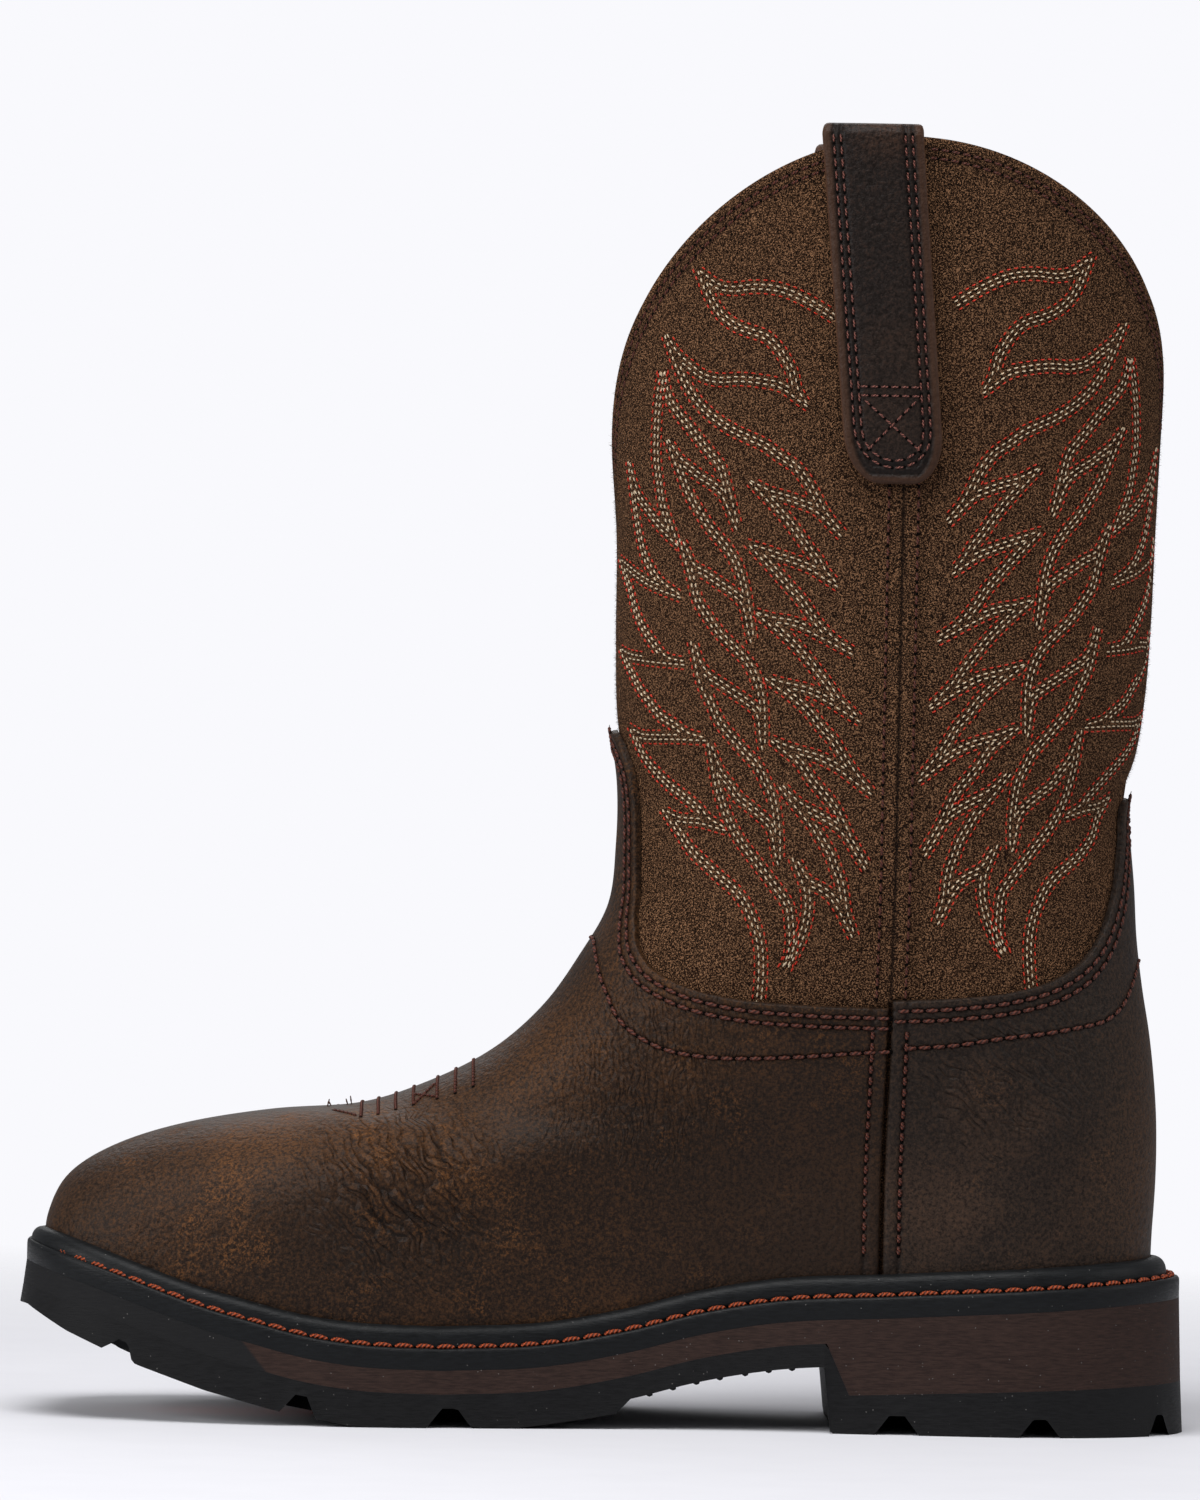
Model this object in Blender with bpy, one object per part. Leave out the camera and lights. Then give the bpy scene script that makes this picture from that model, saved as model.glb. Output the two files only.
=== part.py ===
"""Western work boot for the right foot, as a maker assembles it: a hollow upper with its vamp, counter
and pull straps, on an insole, a storm welt, a midsole with its heel lift, and a lugged outsole.
Metres. Toe towards +X, medial side (big toe) towards +Y, +Z up, standing on its sole."""

import math

import bmesh
import bpy
import numpy as np

# Driving dimensions of the last and the shaft
FOOT_LENGTH = 0.2850
BALL_WIDTH = 0.0990
INSTEP_RISE = 0.0830
SHAFT_WIDTH = 0.0920
SHAFT_DEPTH = 0.1430
COLLAR_HEIGHT = 0.3364
FRONT_DIP = 0.0960
BACK_DIP = 0.0830
FRONT_DIP_POWER = 0.60
BACK_DIP_POWER = 0.53
DIP_SOFTNESS = 0.02
SEAM_PLACE = 0.0692
SEAM_LEAN = 0.0013

# Walls, layers and clearances
WALL = 0.0024
OVERLAY = 0.0020
GAP = 0.0003
SEAM_GROOVE = 0.0010
SEAM_RIDGE = 0.0008
SEAM_RIDGE_HALF = 0.0040
SEAM_RIDGE_FLANK = 0.0016

# Vamp and counter: heights of their upper edges above the floor
OVERLAY_SIDE_HEIGHT = 0.1075
TONGUE_HEIGHT = 0.1815
COUNTER_HEIGHT = 0.1665

# Sole stack
HEEL_STACK = 0.0410
FOREFOOT_STACK = 0.0203
TOE_STACK = 0.0455
TOE_TREAD_RISE = 0.0289
WELT_BASE = 0.0056
WELT_WIDTH = 0.0074
WELT_LEDGE = 0.0034
RIB_HEIGHT = 0.0058
MIDSOLE = 0.0061
ARCH_RUBBER = 0.0060
HEEL_RUBBER_BACK = 0.0136
HEEL_RUBBER_FRONT = 0.0098
INSOLE = 0.0055
TOE_SLANT = 0.08
SOLE_FLARE = 0.0015

# Heel breast and arch step, along the foot from the back of the last
BREAST_PLACE = 0.0830
BREAST_UNDERCUT = 0.0018
LIFT_SETBACK = 0.0065
LIFT_SLOPE = 0.0060
ARCH_STEP_PLACE = 0.1350
ARCH_STEP_SLOPE = 0.0040

# Tread grooves: depth, reach in from the sole's edge, centre channels
GROOVE_DEPTH = 0.0050
GROOVE_REACH = 0.0250
GROOVE_FLARE = 0.0038
CHANNEL_DEPTH = 0.0032
CHANNEL_WIDTH = 0.0240

# Pull straps
STRAP_WIDTH = 0.0258
STRAP_END_WIDTH = 0.0250
STRAP_THICKNESS = 0.0026
STRAP_DROP = 0.0900
STRAP_INNER_DROP = 0.0420
STRAP_AHEAD = 0.0022
STRAP_LEAN = 0.085
STRAP_CLEARANCE = 0.0003

# How finely the solids are faceted
BACK_CELLS = 8
END_CROWDING = 0.30
FRONT_CELLS = 17
FOOT_ROWS = 13
SHAFT_ROWS = 9
RINGS_DENSE = 161
CELLS_DENSE = 64
TRACE_DENSE = 481

# The last's half-widths at the sole. Columns: place along FOOT_LENGTH, medial and lateral
# half-width as shares of BALL_WIDTH.
FOOT_WIDTHS = (
    (0.00, 0.320, 0.320),
    (0.12, 0.325, 0.330),
    (0.25, 0.315, 0.345),
    (0.38, 0.295, 0.380),
    (0.50, 0.325, 0.430),
    (0.60, 0.385, 0.480),
    (0.70, 0.445, 0.505),
    (0.80, 0.455, 0.495),
    (0.90, 0.420, 0.455),
    (1.00, 0.380, 0.405),
)

# Rings of the foot, from the seat up to the ankle. Columns: back and front x as shares of
# FOOT_LENGTH; back and front height over the seat as shares of INSTEP_RISE; share of the sole's
# spring that the ring follows; girth of the foot's width; blend towards the shaft's width; length
# of the back and front rounding as shares of the ring; power of the back and front rounding.
FOOT_RINGS = (
    (0.0035, 0.9920, 0.000, 0.000, 1.00, 0.955, 0.00, 0.150, 0.250, 2.20, 4.50),
    (0.0035, 1.0000, 0.125, 0.090, 1.00, 0.985, 0.00, 0.150, 0.250, 2.20, 4.50),
    (0.0028, 1.0020, 0.216, 0.172, 0.93, 1.000, 0.00, 0.152, 0.245, 2.20, 4.00),
    (0.0014, 0.9870, 0.300, 0.287, 0.82, 1.000, 0.00, 0.155, 0.245, 2.15, 3.20),
    (0.0004, 0.9470, 0.384, 0.375, 0.68, 0.990, 0.02, 0.160, 0.260, 2.10, 2.60),
    (0.0002, 0.8860, 0.480, 0.443, 0.50, 0.985, 0.08, 0.175, 0.320, 2.10, 2.25),
    (0.0012, 0.8090, 0.589, 0.490, 0.34, 0.980, 0.18, 0.195, 0.430, 2.05, 2.10),
    (0.0042, 0.7270, 0.710, 0.517, 0.20, 0.975, 0.32, 0.225, 0.510, 2.00, 2.00),
    (0.0091, 0.6620, 0.842, 0.592, 0.10, 0.970, 0.48, 0.270, 0.500, 2.00, 2.00),
    (0.0165, 0.6025, 0.987, 0.701, 0.03, 0.970, 0.62, 0.330, 0.490, 2.00, 2.00),
    (0.0225, 0.5560, 1.143, 0.845, 0.00, 0.970, 0.76, 0.390, 0.490, 2.00, 2.00),
    (0.0256, 0.5220, 1.300, 1.012, 0.00, 0.970, 0.90, 0.450, 0.500, 2.00, 2.00),
)

# Rings of the shaft, above the ankle. Columns: back x and front x as shares of SHAFT_DEPTH from
# the back of the last; back and front height as shares of the way from the ankle to the top;
# width as a share of SHAFT_WIDTH.
SHAFT_RINGS = (
    (0.0594, 0.9875, 0.0605, 0.0645, 0.950),
    (0.0643, 0.9750, 0.1160, 0.1380, 0.960),
    (0.0371, 0.9757, 0.1776, 0.2117, 0.970),
    (0.0217, 0.9937, 0.2576, 0.2940, 0.980),
    (0.0140, 0.9990, 0.3517, 0.3860, 0.990),
    (0.0098, 1.0020, 0.4627, 0.5095, 1.000),
    (0.0028, 1.0195, 0.5988, 0.6330, 1.020),
    (-0.0070, 1.0280, 0.7380, 0.7626, 1.030),
    (-0.0070, 1.0280, 1.0000, 1.0000, 1.030),
)
SHAFT_MARGIN = 0.0060

# Height of the welt's ledge along the sole. Columns: place along the sole, then the share of the
# way from FOREFOOT_STACK to HEEL_STACK behind the ball, or to TOE_STACK before it.
LEDGE_HEEL = ((0.00, 1.00), (0.12, 0.865), (0.25, 0.75), (0.36, 0.64), (0.42, 0.48), (0.48, 0.25), (0.55, 0.065), (0.64, 0.0))
LEDGE_TOE = ((0.64, 0.0), (0.72, 0.045), (0.76, 0.12), (0.80, 0.24), (0.84, 0.365), (0.88, 0.525), (0.93, 0.735), (1.00, 1.0))

# Underside of the forefoot tread. Columns: place along the sole, share of TOE_TREAD_RISE.
TREAD = ((0.47, 0.150), (0.49, 0.140), (0.52, 0.085), (0.555, 0.030), (0.58, 0.0), (0.68, 0.0), (0.72, 0.017), (0.775, 0.12),
         (0.842, 0.30), (0.90, 0.505), (0.964, 0.79), (1.00, 1.0))

# Upper edges of the overlays. Columns: share of the girth from the centre line to the side seam,
# share of the rise from OVERLAY_SIDE_HEIGHT to the tongue's or the counter's top.
TONGUE_EDGE = ((0.00, 1.000), (0.07, 0.975), (0.12, 0.910), (0.160, 0.790), (0.178, 0.650), (0.190, 0.510), (0.21, 0.380),
               (0.26, 0.250), (0.34, 0.145), (0.46, 0.068), (0.60, 0.025), (0.80, 0.004), (1.00, 0.000))
COUNTER_EDGE = ((0.00, 1.000), (0.07, 0.965), (0.115, 0.865), (0.15, 0.735), (0.20, 0.560), (0.28, 0.345), (0.36, 0.215),
                (0.46, 0.135), (0.60, 0.085), (0.80, 0.040), (1.00, 0.000))

# Tread grooves. Columns: place along the sole, half-width at the floor as a multiple of GROOVE_DEPTH,
# depth as a multiple of GROOVE_DEPTH.
GROOVES = ((0.019, 0.55, 1.10), (0.125, 1.08, 0.95), (0.248, 1.16, 1.00), (0.632, 1.16, 1.02), (0.762, 0.95, 1.05), (0.918, 0.85, 0.80))

# Centre channels in the tread. Columns: start and end along the sole.
CHANNELS = ((0.075, 0.225), (0.530, 0.925))


def column(table, index):
    """One column of a table as an array."""
    return np.array([row[index] for row in table], float)


def curve(places, values, at):
    """Cubic Hermite curve through (places, values), with the slopes of the neighbouring points."""
    places, values, at = np.asarray(places, float), np.asarray(values, float), np.asarray(at, float)
    slopes = np.gradient(values, places)
    cell = np.clip(np.searchsorted(places, at) - 1, 0, len(places) - 2)
    width = places[cell + 1] - places[cell]
    t = np.clip((at - places[cell]) / width, 0.0, 1.0)
    start = (2 * t**3 - 3 * t**2 + 1) * values[cell] + (t**3 - 2 * t**2 + t) * width * slopes[cell]
    end = (3 * t**2 - 2 * t**3) * values[cell + 1] + (t**3 - t**2) * width * slopes[cell + 1]
    return start + end


def smooth_step(low, high, at):
    t = np.clip((np.asarray(at, float) - low) / (high - low), 0.0, 1.0)
    return t * t * (3 - 2 * t)


RIM = GAP + OVERLAY + GAP + WELT_WIDTH
SOLE_BACK = FOOT_RINGS[0][0] * FOOT_LENGTH - RIM
SOLE_FRONT = FOOT_RINGS[0][1] * FOOT_LENGTH + RIM
SOLE_LENGTH = SOLE_FRONT - SOLE_BACK


def sole_share(x):
    return np.clip((np.asarray(x, float) - SOLE_BACK) / SOLE_LENGTH, 0.0, 1.0)


def ledge_height(x):
    """Height of the welt's ledge: from the heel down to the ball, then up with the toe spring."""
    share = sole_share(x)
    heel = curve(column(LEDGE_HEEL, 0), column(LEDGE_HEEL, 1), share)
    toe = curve(column(LEDGE_TOE, 0), column(LEDGE_TOE, 1), share)
    behind = FOREFOOT_STACK + heel * (HEEL_STACK - FOREFOOT_STACK)
    before = FOREFOOT_STACK + toe * (TOE_STACK - FOREFOOT_STACK)
    return np.where(share < LEDGE_TOE[0][0], behind, before)


def seat_height(x):
    """Underside of the welt, on which the upper and the insole stand."""
    return ledge_height(x) - WELT_BASE


def ring_table():
    """All rings from the seat to above the collar, with sizes in metres, one row for each ring."""
    heel_seat = float(seat_height(FOOT_RINGS[0][0] * FOOT_LENGTH))
    toe_seat = float(seat_height(FOOT_RINGS[0][1] * FOOT_LENGTH))
    ankle_width = SHAFT_RINGS[0][4]
    rows = []
    for back, front, back_up, front_up, spring, girth, blend, back_round, front_round, back_power, front_power in FOOT_RINGS:
        rows.append((back * FOOT_LENGTH, front * FOOT_LENGTH, heel_seat + back_up * INSTEP_RISE,
                     toe_seat + front_up * INSTEP_RISE, spring, girth, blend, ankle_width * SHAFT_WIDTH / 2,
                     back_round, front_round, back_power, front_power))
    ankle_back, ankle_front = rows[-1][2], rows[-1][3]
    top = COLLAR_HEIGHT + SHAFT_MARGIN
    for back, front, back_up, front_up, width in SHAFT_RINGS:
        rows.append((back * SHAFT_DEPTH, front * SHAFT_DEPTH, ankle_back + back_up * (top - ankle_back),
                     ankle_front + front_up * (top - ankle_front), 0.0, FOOT_RINGS[-1][5], 1.0,
                     width * SHAFT_WIDTH / 2, 0.5, 0.5, 2.0, 2.0))
    return np.array(rows, float)


def rounding(distance, length, power):
    """Closes a ring's end: 0 at the end, 1 from length on, as a superellipse of that power."""
    inside = np.clip(1.0 - distance / length, 0.0, 1.0)
    return (1.0 - inside**power) ** (1.0 / power)


class Form:
    """The last's outer surface as a function of height and girth.

    height runs from 0 at the seat to 1 above the collar. girth runs round the boot: 0 back centre,
    1 medial side seam, 2 front centre, 3 lateral side seam, 4 back centre again. Within each quarter
    it is a share of the ring's length there."""

    def __init__(self):
        rings = ring_table()
        places = np.linspace(0.0, 1.0, len(rings))
        heights = np.linspace(0.0, 1.0, RINGS_DENSE)
        columns = [curve(places, rings[:, index], heights) for index in range(rings.shape[1])]
        grid = np.zeros((RINGS_DENSE, 4 * CELLS_DENSE, 3))
        self.quarters = np.zeros((RINGS_DENSE, 4))
        for number in range(RINGS_DENSE):
            row = [values[number] for values in columns]
            medial_back, medial_front, lengths = self.half_ring(row, rings[0], 1)
            lateral_back, lateral_front, far_lengths = self.half_ring(row, rings[0], -1)
            grid[number] = np.concatenate((medial_back[:-1], medial_front[:-1], lateral_front[:0:-1], lateral_back[:0:-1]))
            self.quarters[number] = (lengths[0], lengths[1], far_lengths[1], far_lengths[0])
        self.grid = grid
        along = np.gradient(grid, axis=0)
        round_about = np.roll(grid, -1, axis=1) - np.roll(grid, 1, axis=1)
        normals = np.cross(along, round_about)
        self.normals = normals / np.linalg.norm(normals, axis=2, keepdims=True)

    @staticmethod
    def half_ring(row, seat_row, side):
        """One side of a ring, back centre to front centre, as points spaced evenly behind and
        before the side seam."""
        back, front, back_up, front_up, spring, girth, blend, half_shaft, back_round, front_round, back_power, front_power = row
        share = (1 - np.cos(np.linspace(0.0, math.pi, TRACE_DENSE))) / 2
        length = front - back
        x = back + share * length
        widths = curve(column(FOOT_WIDTHS, 0), column(FOOT_WIDTHS, 1 if side > 0 else 2), x / FOOT_LENGTH) * BALL_WIDTH
        half = (1 - blend) * girth * widths + blend * half_shaft
        ends = rounding(share * length, back_round * length, back_power)
        ends = ends * rounding((1 - share) * length, front_round * length, front_power)
        y = side * half * ends
        seat_x = seat_row[0] + share * (seat_row[1] - seat_row[0])
        chord = seat_row[2] + share * (seat_row[3] - seat_row[2])
        z = back_up + share * (front_up - back_up) + spring * (seat_height(seat_x) - chord)
        x = x + TOE_SLANT * y * smooth_step(0.7, 1.0, share) * spring
        points = np.stack((x, y, z), axis=1)
        travel = np.concatenate(([0.0], np.cumsum(np.linalg.norm(np.diff(points, axis=0), axis=1))))
        seam = np.interp(SEAM_PLACE + (1 - blend) * SEAM_LEAN, x, travel)
        wanted = np.linspace(0.0, 1.0, CELLS_DENSE + 1)
        behind = np.stack([np.interp(wanted * seam, travel, points[:, axis]) for axis in range(3)], axis=1)
        before_at = seam + wanted * (travel[-1] - seam)
        before = np.stack([np.interp(before_at, travel, points[:, axis]) for axis in range(3)], axis=1)
        return behind, before, (seam, travel[-1] - seam)

    def sample(self, field, height, girth):
        """Bilinear value of a field of the dense grid at any height and girth."""
        height, girth = np.broadcast_arrays(np.asarray(height, float), np.asarray(girth, float))
        row = np.clip(height, 0.0, 1.0) * (RINGS_DENSE - 1)
        low = np.clip(np.floor(row).astype(int), 0, RINGS_DENSE - 2)
        up = (row - low)[..., None]
        turn = np.mod(girth, 4.0) * CELLS_DENSE
        left = np.floor(turn).astype(int)
        right_share = (turn - left)[..., None]
        left = left % (4 * CELLS_DENSE)
        right = (left + 1) % (4 * CELLS_DENSE)
        lower = field[low, left] * (1 - right_share) + field[low, right] * right_share
        upper = field[low + 1, left] * (1 - right_share) + field[low + 1, right] * right_share
        return lower * (1 - up) + upper * up

    def at(self, height, girth, lift=0.0):
        """A point of the surface, moved outwards by lift along its normal."""
        normal = self.sample(self.normals, height, girth)
        normal = normal / np.linalg.norm(normal, axis=-1, keepdims=True)
        return self.sample(self.grid, height, girth) + normal * np.asarray(lift, float)[..., None]

    def height_of(self, level, girth):
        """The height parameter at which each girth's line passes the level above the floor."""
        girth = np.atleast_1d(np.asarray(girth, float))
        level = np.broadcast_to(np.asarray(level, float), girth.shape)
        steps = np.linspace(0.0, 1.0, RINGS_DENSE)
        lines = self.sample(self.grid[:, :, 2:3], steps[:, None], girth[None, :])[:, :, 0]
        return np.array([np.interp(level[i], lines[:, i], steps) for i in range(len(girth))])

    def quarter_length(self, height, quarter):
        row = np.clip(height, 0.0, 1.0) * (RINGS_DENSE - 1)
        return np.interp(row, np.arange(RINGS_DENSE), self.quarters[:, quarter])


def quarter_share(girth):
    """Share of the girth from the nearest centre line, back or front, to the side seam."""
    turn = np.mod(np.asarray(girth, float), 2.0)
    return np.minimum(turn, 2.0 - turn)


def is_front(girth):
    turn = np.mod(np.asarray(girth, float), 4.0)
    return (turn >= 1.0) & (turn <= 3.0)


def overlay_level(girth):
    """Height of the vamp's and the counter's upper edge."""
    share = quarter_share(girth)
    tongue = curve(column(TONGUE_EDGE, 0), column(TONGUE_EDGE, 1), share) * (TONGUE_HEIGHT - OVERLAY_SIDE_HEIGHT)
    counter = curve(column(COUNTER_EDGE, 0), column(COUNTER_EDGE, 1), share) * (COUNTER_HEIGHT - OVERLAY_SIDE_HEIGHT)
    return OVERLAY_SIDE_HEIGHT + np.where(is_front(girth), tongue, counter)


def collar_level(girth):
    """Height of the collar: high at the side seams, with a V-shaped dip at the front and the back."""
    wave = np.sqrt(np.sin(quarter_share(girth) * math.pi / 2) ** 2 + DIP_SOFTNESS**2) - DIP_SOFTNESS
    wave = wave / (math.sqrt(1 + DIP_SOFTNESS**2) - DIP_SOFTNESS)
    front = is_front(girth)
    power = np.where(front, FRONT_DIP_POWER, BACK_DIP_POWER)
    return COLLAR_HEIGHT - np.where(front, FRONT_DIP, BACK_DIP) * (1 - wave**power)


def trace(form, level, shares):
    """Heights and girths of a line round the boot at level(girth). In each quarter the points are
    spaced by length at the given shares of the way from one centre line or seam to the next."""
    heights, girths = [], []
    for quarter in range(4):
        dense = quarter + (1 - np.cos(np.linspace(0.0, math.pi, TRACE_DENSE))) / 2
        inner = np.clip(dense, quarter + 1e-6, quarter + 1 - 1e-6)
        height = form.height_of(level(inner), inner)
        points = form.at(height, dense)
        travel = np.concatenate(([0.0], np.cumsum(np.linalg.norm(np.diff(points, axis=0), axis=1))))
        wanted = shares[quarter] * travel[-1]
        girths.append(np.interp(wanted, travel, dense))
        heights.append(np.interp(wanted, travel, height))
    return np.concatenate(heights), np.concatenate(girths)


def quarter_shares(form):
    """Shares of each quarter at which the columns stand, with close pairs beside the side seams.
    Each quarter leaves out its last point, which the next one starts with."""
    near = SEAM_RIDGE_HALF / form.quarter_length(0.75, 1)
    far = (SEAM_RIDGE_HALF + SEAM_RIDGE_FLANK) / form.quarter_length(0.75, 1)
    quarters = []
    for cells in (FRONT_CELLS, BACK_CELLS):
        even = np.linspace(0.0, 1.0, cells + 1)[1:]
        crowded = (1 - END_CROWDING) * even + END_CROWDING * np.sin(even * math.pi / 2)
        quarters.append(np.concatenate(([0.0, near, far], far + (1 - far) * crowded)))
    front, back = quarters
    return [1 - back[::-1][:-1], front[:-1], 1 - front[::-1][:-1], back[:-1]]


def lines(form):
    """The three lines that trim the form: seat, overlay edge and collar, each as (heights, girths)."""
    shares = quarter_shares(form)
    seat_girths = np.concatenate([quarter + shares[quarter] for quarter in range(4)])
    seat = (np.zeros(len(seat_girths)), seat_girths)
    return seat, trace(form, overlay_level, shares), trace(form, collar_level, shares)


def band(lower, upper, rows):
    """Rows of (heights, girths) from one trimming line to the next."""
    return [((1 - t) * lower[0] + t * upper[0], (1 - t) * lower[1] + t * upper[1]) for t in np.linspace(0.0, 1.0, rows + 1)]


def material(name, colour, roughness, metallic=0.0):
    made = bpy.data.materials.new(name)
    made.use_nodes = True
    shader = made.node_tree.nodes["Principled BSDF"]
    shader.inputs["Base Color"].default_value = (*colour, 1.0)
    shader.inputs["Roughness"].default_value = roughness
    shader.inputs["Metallic"].default_value = metallic
    return made


def solid(name, points, faces, finish):
    """A closed mesh object with outward faces, shaded smooth up to its sharp edges."""
    mesh = bpy.data.meshes.new(name)
    mesh.from_pydata([tuple(point) for point in points], [], faces)
    work = bmesh.new()
    work.from_mesh(mesh)
    bmesh.ops.remove_doubles(work, verts=work.verts, dist=1e-6)
    bmesh.ops.recalc_face_normals(work, faces=work.faces)
    work.to_mesh(mesh)
    work.free()
    mesh.materials.append(finish)
    mesh.shade_smooth()
    mesh.set_sharp_from_angle(angle=math.radians(40))
    made = bpy.data.objects.new(name, mesh)
    bpy.context.scene.collection.objects.link(made)
    return made


def ring_faces(ring_count, size, closed_rings=True):
    """Triangles between successive rings of equal size, whose quads are all split the same way."""
    faces = []
    for ring in range(ring_count if closed_rings else ring_count - 1):
        after = (ring + 1) % ring_count
        for place in range(size):
            beside = (place + 1) % size
            a, b = ring * size + place, ring * size + beside
            c, d = after * size + beside, after * size + place
            faces += [(a, b, c), (a, c, d)]
    return faces


def ring_solid(name, rings, finish):
    """A solid whose wall is a closed chain of closed rings, such as a shell or a welt."""
    return solid(name, np.concatenate(rings), ring_faces(len(rings), len(rings[0])), finish)


def sheet_solid(name, outer, inner, finish):
    """A solid between an outer and an inner grid of rows and columns that match one another."""
    rows, columns = outer.shape[:2]
    count = rows * columns
    faces = []
    for row in range(rows - 1):
        for place in range(columns - 1):
            a, b = row * columns + place, row * columns + place + 1
            c, d = b + columns, a + columns
            faces += [(a, b, c), (a, c, d), (count + a, count + c, count + b), (count + a, count + d, count + c)]
    border = [row * columns for row in range(rows)] + [(rows - 1) * columns + place for place in range(1, columns)]
    border += [row * columns + columns - 1 for row in range(rows - 2, -1, -1)] + list(range(columns - 2, 0, -1))
    for number, here in enumerate(border):
        after = border[(number + 1) % len(border)]
        faces += [(here, after, count + after), (here, count + after, count + here)]
    return solid(name, np.concatenate((outer.reshape(-1, 3), inner.reshape(-1, 3))), faces, finish)


def seam_ridge(form, height, girth, fade):
    """How far the wall stands out along the side seams of the shaft."""
    off = np.zeros_like(girth)
    for seam, quarters in ((1.0, (0, 1)), (3.0, (3, 2))):
        before = girth >= seam if seam == 1.0 else girth <= seam
        length = np.where(before, form.quarter_length(height, quarters[1]), form.quarter_length(height, quarters[0]))
        distance = np.abs(girth - seam) * length
        rise = 1 - smooth_step(SEAM_RIDGE_HALF, SEAM_RIDGE_HALF + SEAM_RIDGE_FLANK, distance)
        off = np.maximum(off, np.where(np.abs(girth - seam) < 0.5, rise, 0.0))
    return off * SEAM_RIDGE * fade


def make_upper(form, trims, finish):
    """The one hollow shell: shaft above and lasted foot below, open at the collar and underneath."""
    seat, edge, collar = trims
    rows = band(seat, edge, FOOT_ROWS)[:-1] + band(edge, collar, SHAFT_ROWS)
    outer, inner = [], []
    for number, (height, girth) in enumerate(rows):
        fade = 1.0 if number > FOOT_ROWS else 0.0
        outer.append(form.at(height, girth, seam_ridge(form, height, girth, fade)))
        inner.append(form.at(height, girth, np.full(len(girth), -WALL)))
    for lowest in (outer[0], inner[0]):
        lowest[:, 2] = seat_height(lowest[:, 0])
    return ring_solid("upper", outer + inner[::-1], finish)


def make_overlay(form, trims, name, first, last, finish):
    """The vamp or the counter: a second layer on the foot between two side seams."""
    seat, edge, _ = trims
    size = len(seat[1])
    picked = [number % size for number in range(first, last + 1)]
    turns = np.array([4.0 * (number // size) for number in range(first, last + 1)])
    outer, inner = [], []
    for height, girth in band(seat, edge, FOOT_ROWS):
        height, girth = height[picked].copy(), girth[picked] + turns
        for end, direction, in ((0, 1.0), (-1, -1.0)):
            quarter = int(math.floor(girth[end] + 0.5 * direction)) % 4
            girth[end] += direction * SEAM_GROOVE / 2 / form.quarter_length(height[end], quarter)
        outer.append(form.at(height, girth, np.full(len(girth), GAP + OVERLAY)))
        inner.append(form.at(height, girth, np.full(len(girth), GAP)))
    for lowest in (outer[0], inner[0]):
        lowest[:, 2] = seat_height(lowest[:, 0])
    return sheet_solid(name, np.array(outer), np.array(inner), finish)


def plan_normals(points):
    """Outward unit normals of a closed line in plan."""
    tangent = np.roll(points, -1, axis=0) - np.roll(points, 1, axis=0)
    normal = np.stack((-tangent[:, 1], tangent[:, 0], np.zeros(len(points))), axis=1)
    normal /= np.linalg.norm(normal, axis=1, keepdims=True)
    centre = points.mean(axis=0)
    outward = np.sign(np.sum(normal * (points - centre), axis=1).mean())
    return normal * outward


def seat_outline(form, girths, offset):
    """The seat ring moved out in plan, from normals of the dense ring."""
    dense = form.grid[0]
    moved = dense + plan_normals(dense) * offset
    turn = np.mod(girths, 4.0) * CELLS_DENSE
    left = np.floor(turn).astype(int) % len(dense)
    share = (turn - np.floor(turn))[:, None]
    return moved[left] * (1 - share) + moved[(left + 1) % len(dense)] * share


def with_height(points, height_of):
    lifted = points.copy()
    lifted[:, 2] = height_of(points[:, 0])
    return lifted


def make_welt(form, trims, finish):
    """The storm welt: a flat base under a rounded rib that seals against the vamp and counter."""
    girths = trims[0][1]
    clear = GAP + OVERLAY + GAP
    rib_level = form.at(np.zeros(len(girths)), girths)
    rib_height = form.height_of(ledge_height(rib_level[:, 0]) + RIB_HEIGHT, girths)
    half_height = form.height_of(ledge_height(rib_level[:, 0]) + RIB_HEIGHT * 0.5, girths)
    inner_bottom = form.at(np.zeros(len(girths)), girths, np.full(len(girths), clear))
    inner_bottom[:, 2] = seat_height(inner_bottom[:, 0])
    inner_middle = form.at(half_height, girths, np.full(len(girths), clear))
    inner_top = form.at(rib_height, girths, np.full(len(girths), clear))
    edge = seat_outline(form, girths, RIM)
    foot = seat_outline(form, girths, RIM - WELT_LEDGE)
    rib_width = WELT_WIDTH - WELT_LEDGE
    outward = plan_normals(form.grid[0])[(girths * CELLS_DENSE).astype(int) % (4 * CELLS_DENSE)]
    shoulder = inner_middle + outward * rib_width * 0.92
    crown = inner_top + outward * rib_width * 0.50
    crown[:, 2] -= RIB_HEIGHT * 0.05
    rings = [inner_bottom, with_height(edge, seat_height), with_height(edge, ledge_height),
             with_height(foot, ledge_height), shoulder, crown, inner_top, inner_middle]
    return ring_solid("welt", rings, finish)


def outline_girths(form, outline_offset, places):
    """Girths of the medial and lateral side at which the offset outline passes each x place."""
    dense_turns = np.linspace(0.0, 2.0, 2 * CELLS_DENSE * 4 + 1)
    medial = seat_outline(form, dense_turns, outline_offset)
    lateral = seat_outline(form, 4.0 - dense_turns, outline_offset)
    return (np.interp(places, medial[:, 0], dense_turns), np.interp(places, lateral[:, 0], dense_turns))


def rungs(form, trims, offset, extra=()):
    """Medial and lateral girths of matching points, back to front, with extra x places added."""
    girths = trims[0][1]
    medial = np.concatenate((girths[girths < 2.0], [2.0]))
    lateral = medial.copy()
    if extra:
        more_medial, more_lateral = outline_girths(form, offset, np.array(extra))
        clear = 0.012
        keep = [np.min(np.abs(more_medial - girth)) > clear or girth in (0.0, 2.0) for girth in medial]
        medial = np.sort(np.concatenate((medial[keep], more_medial)))
        lateral = np.sort(np.concatenate((lateral[keep], more_lateral)))
    return medial, lateral


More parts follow.
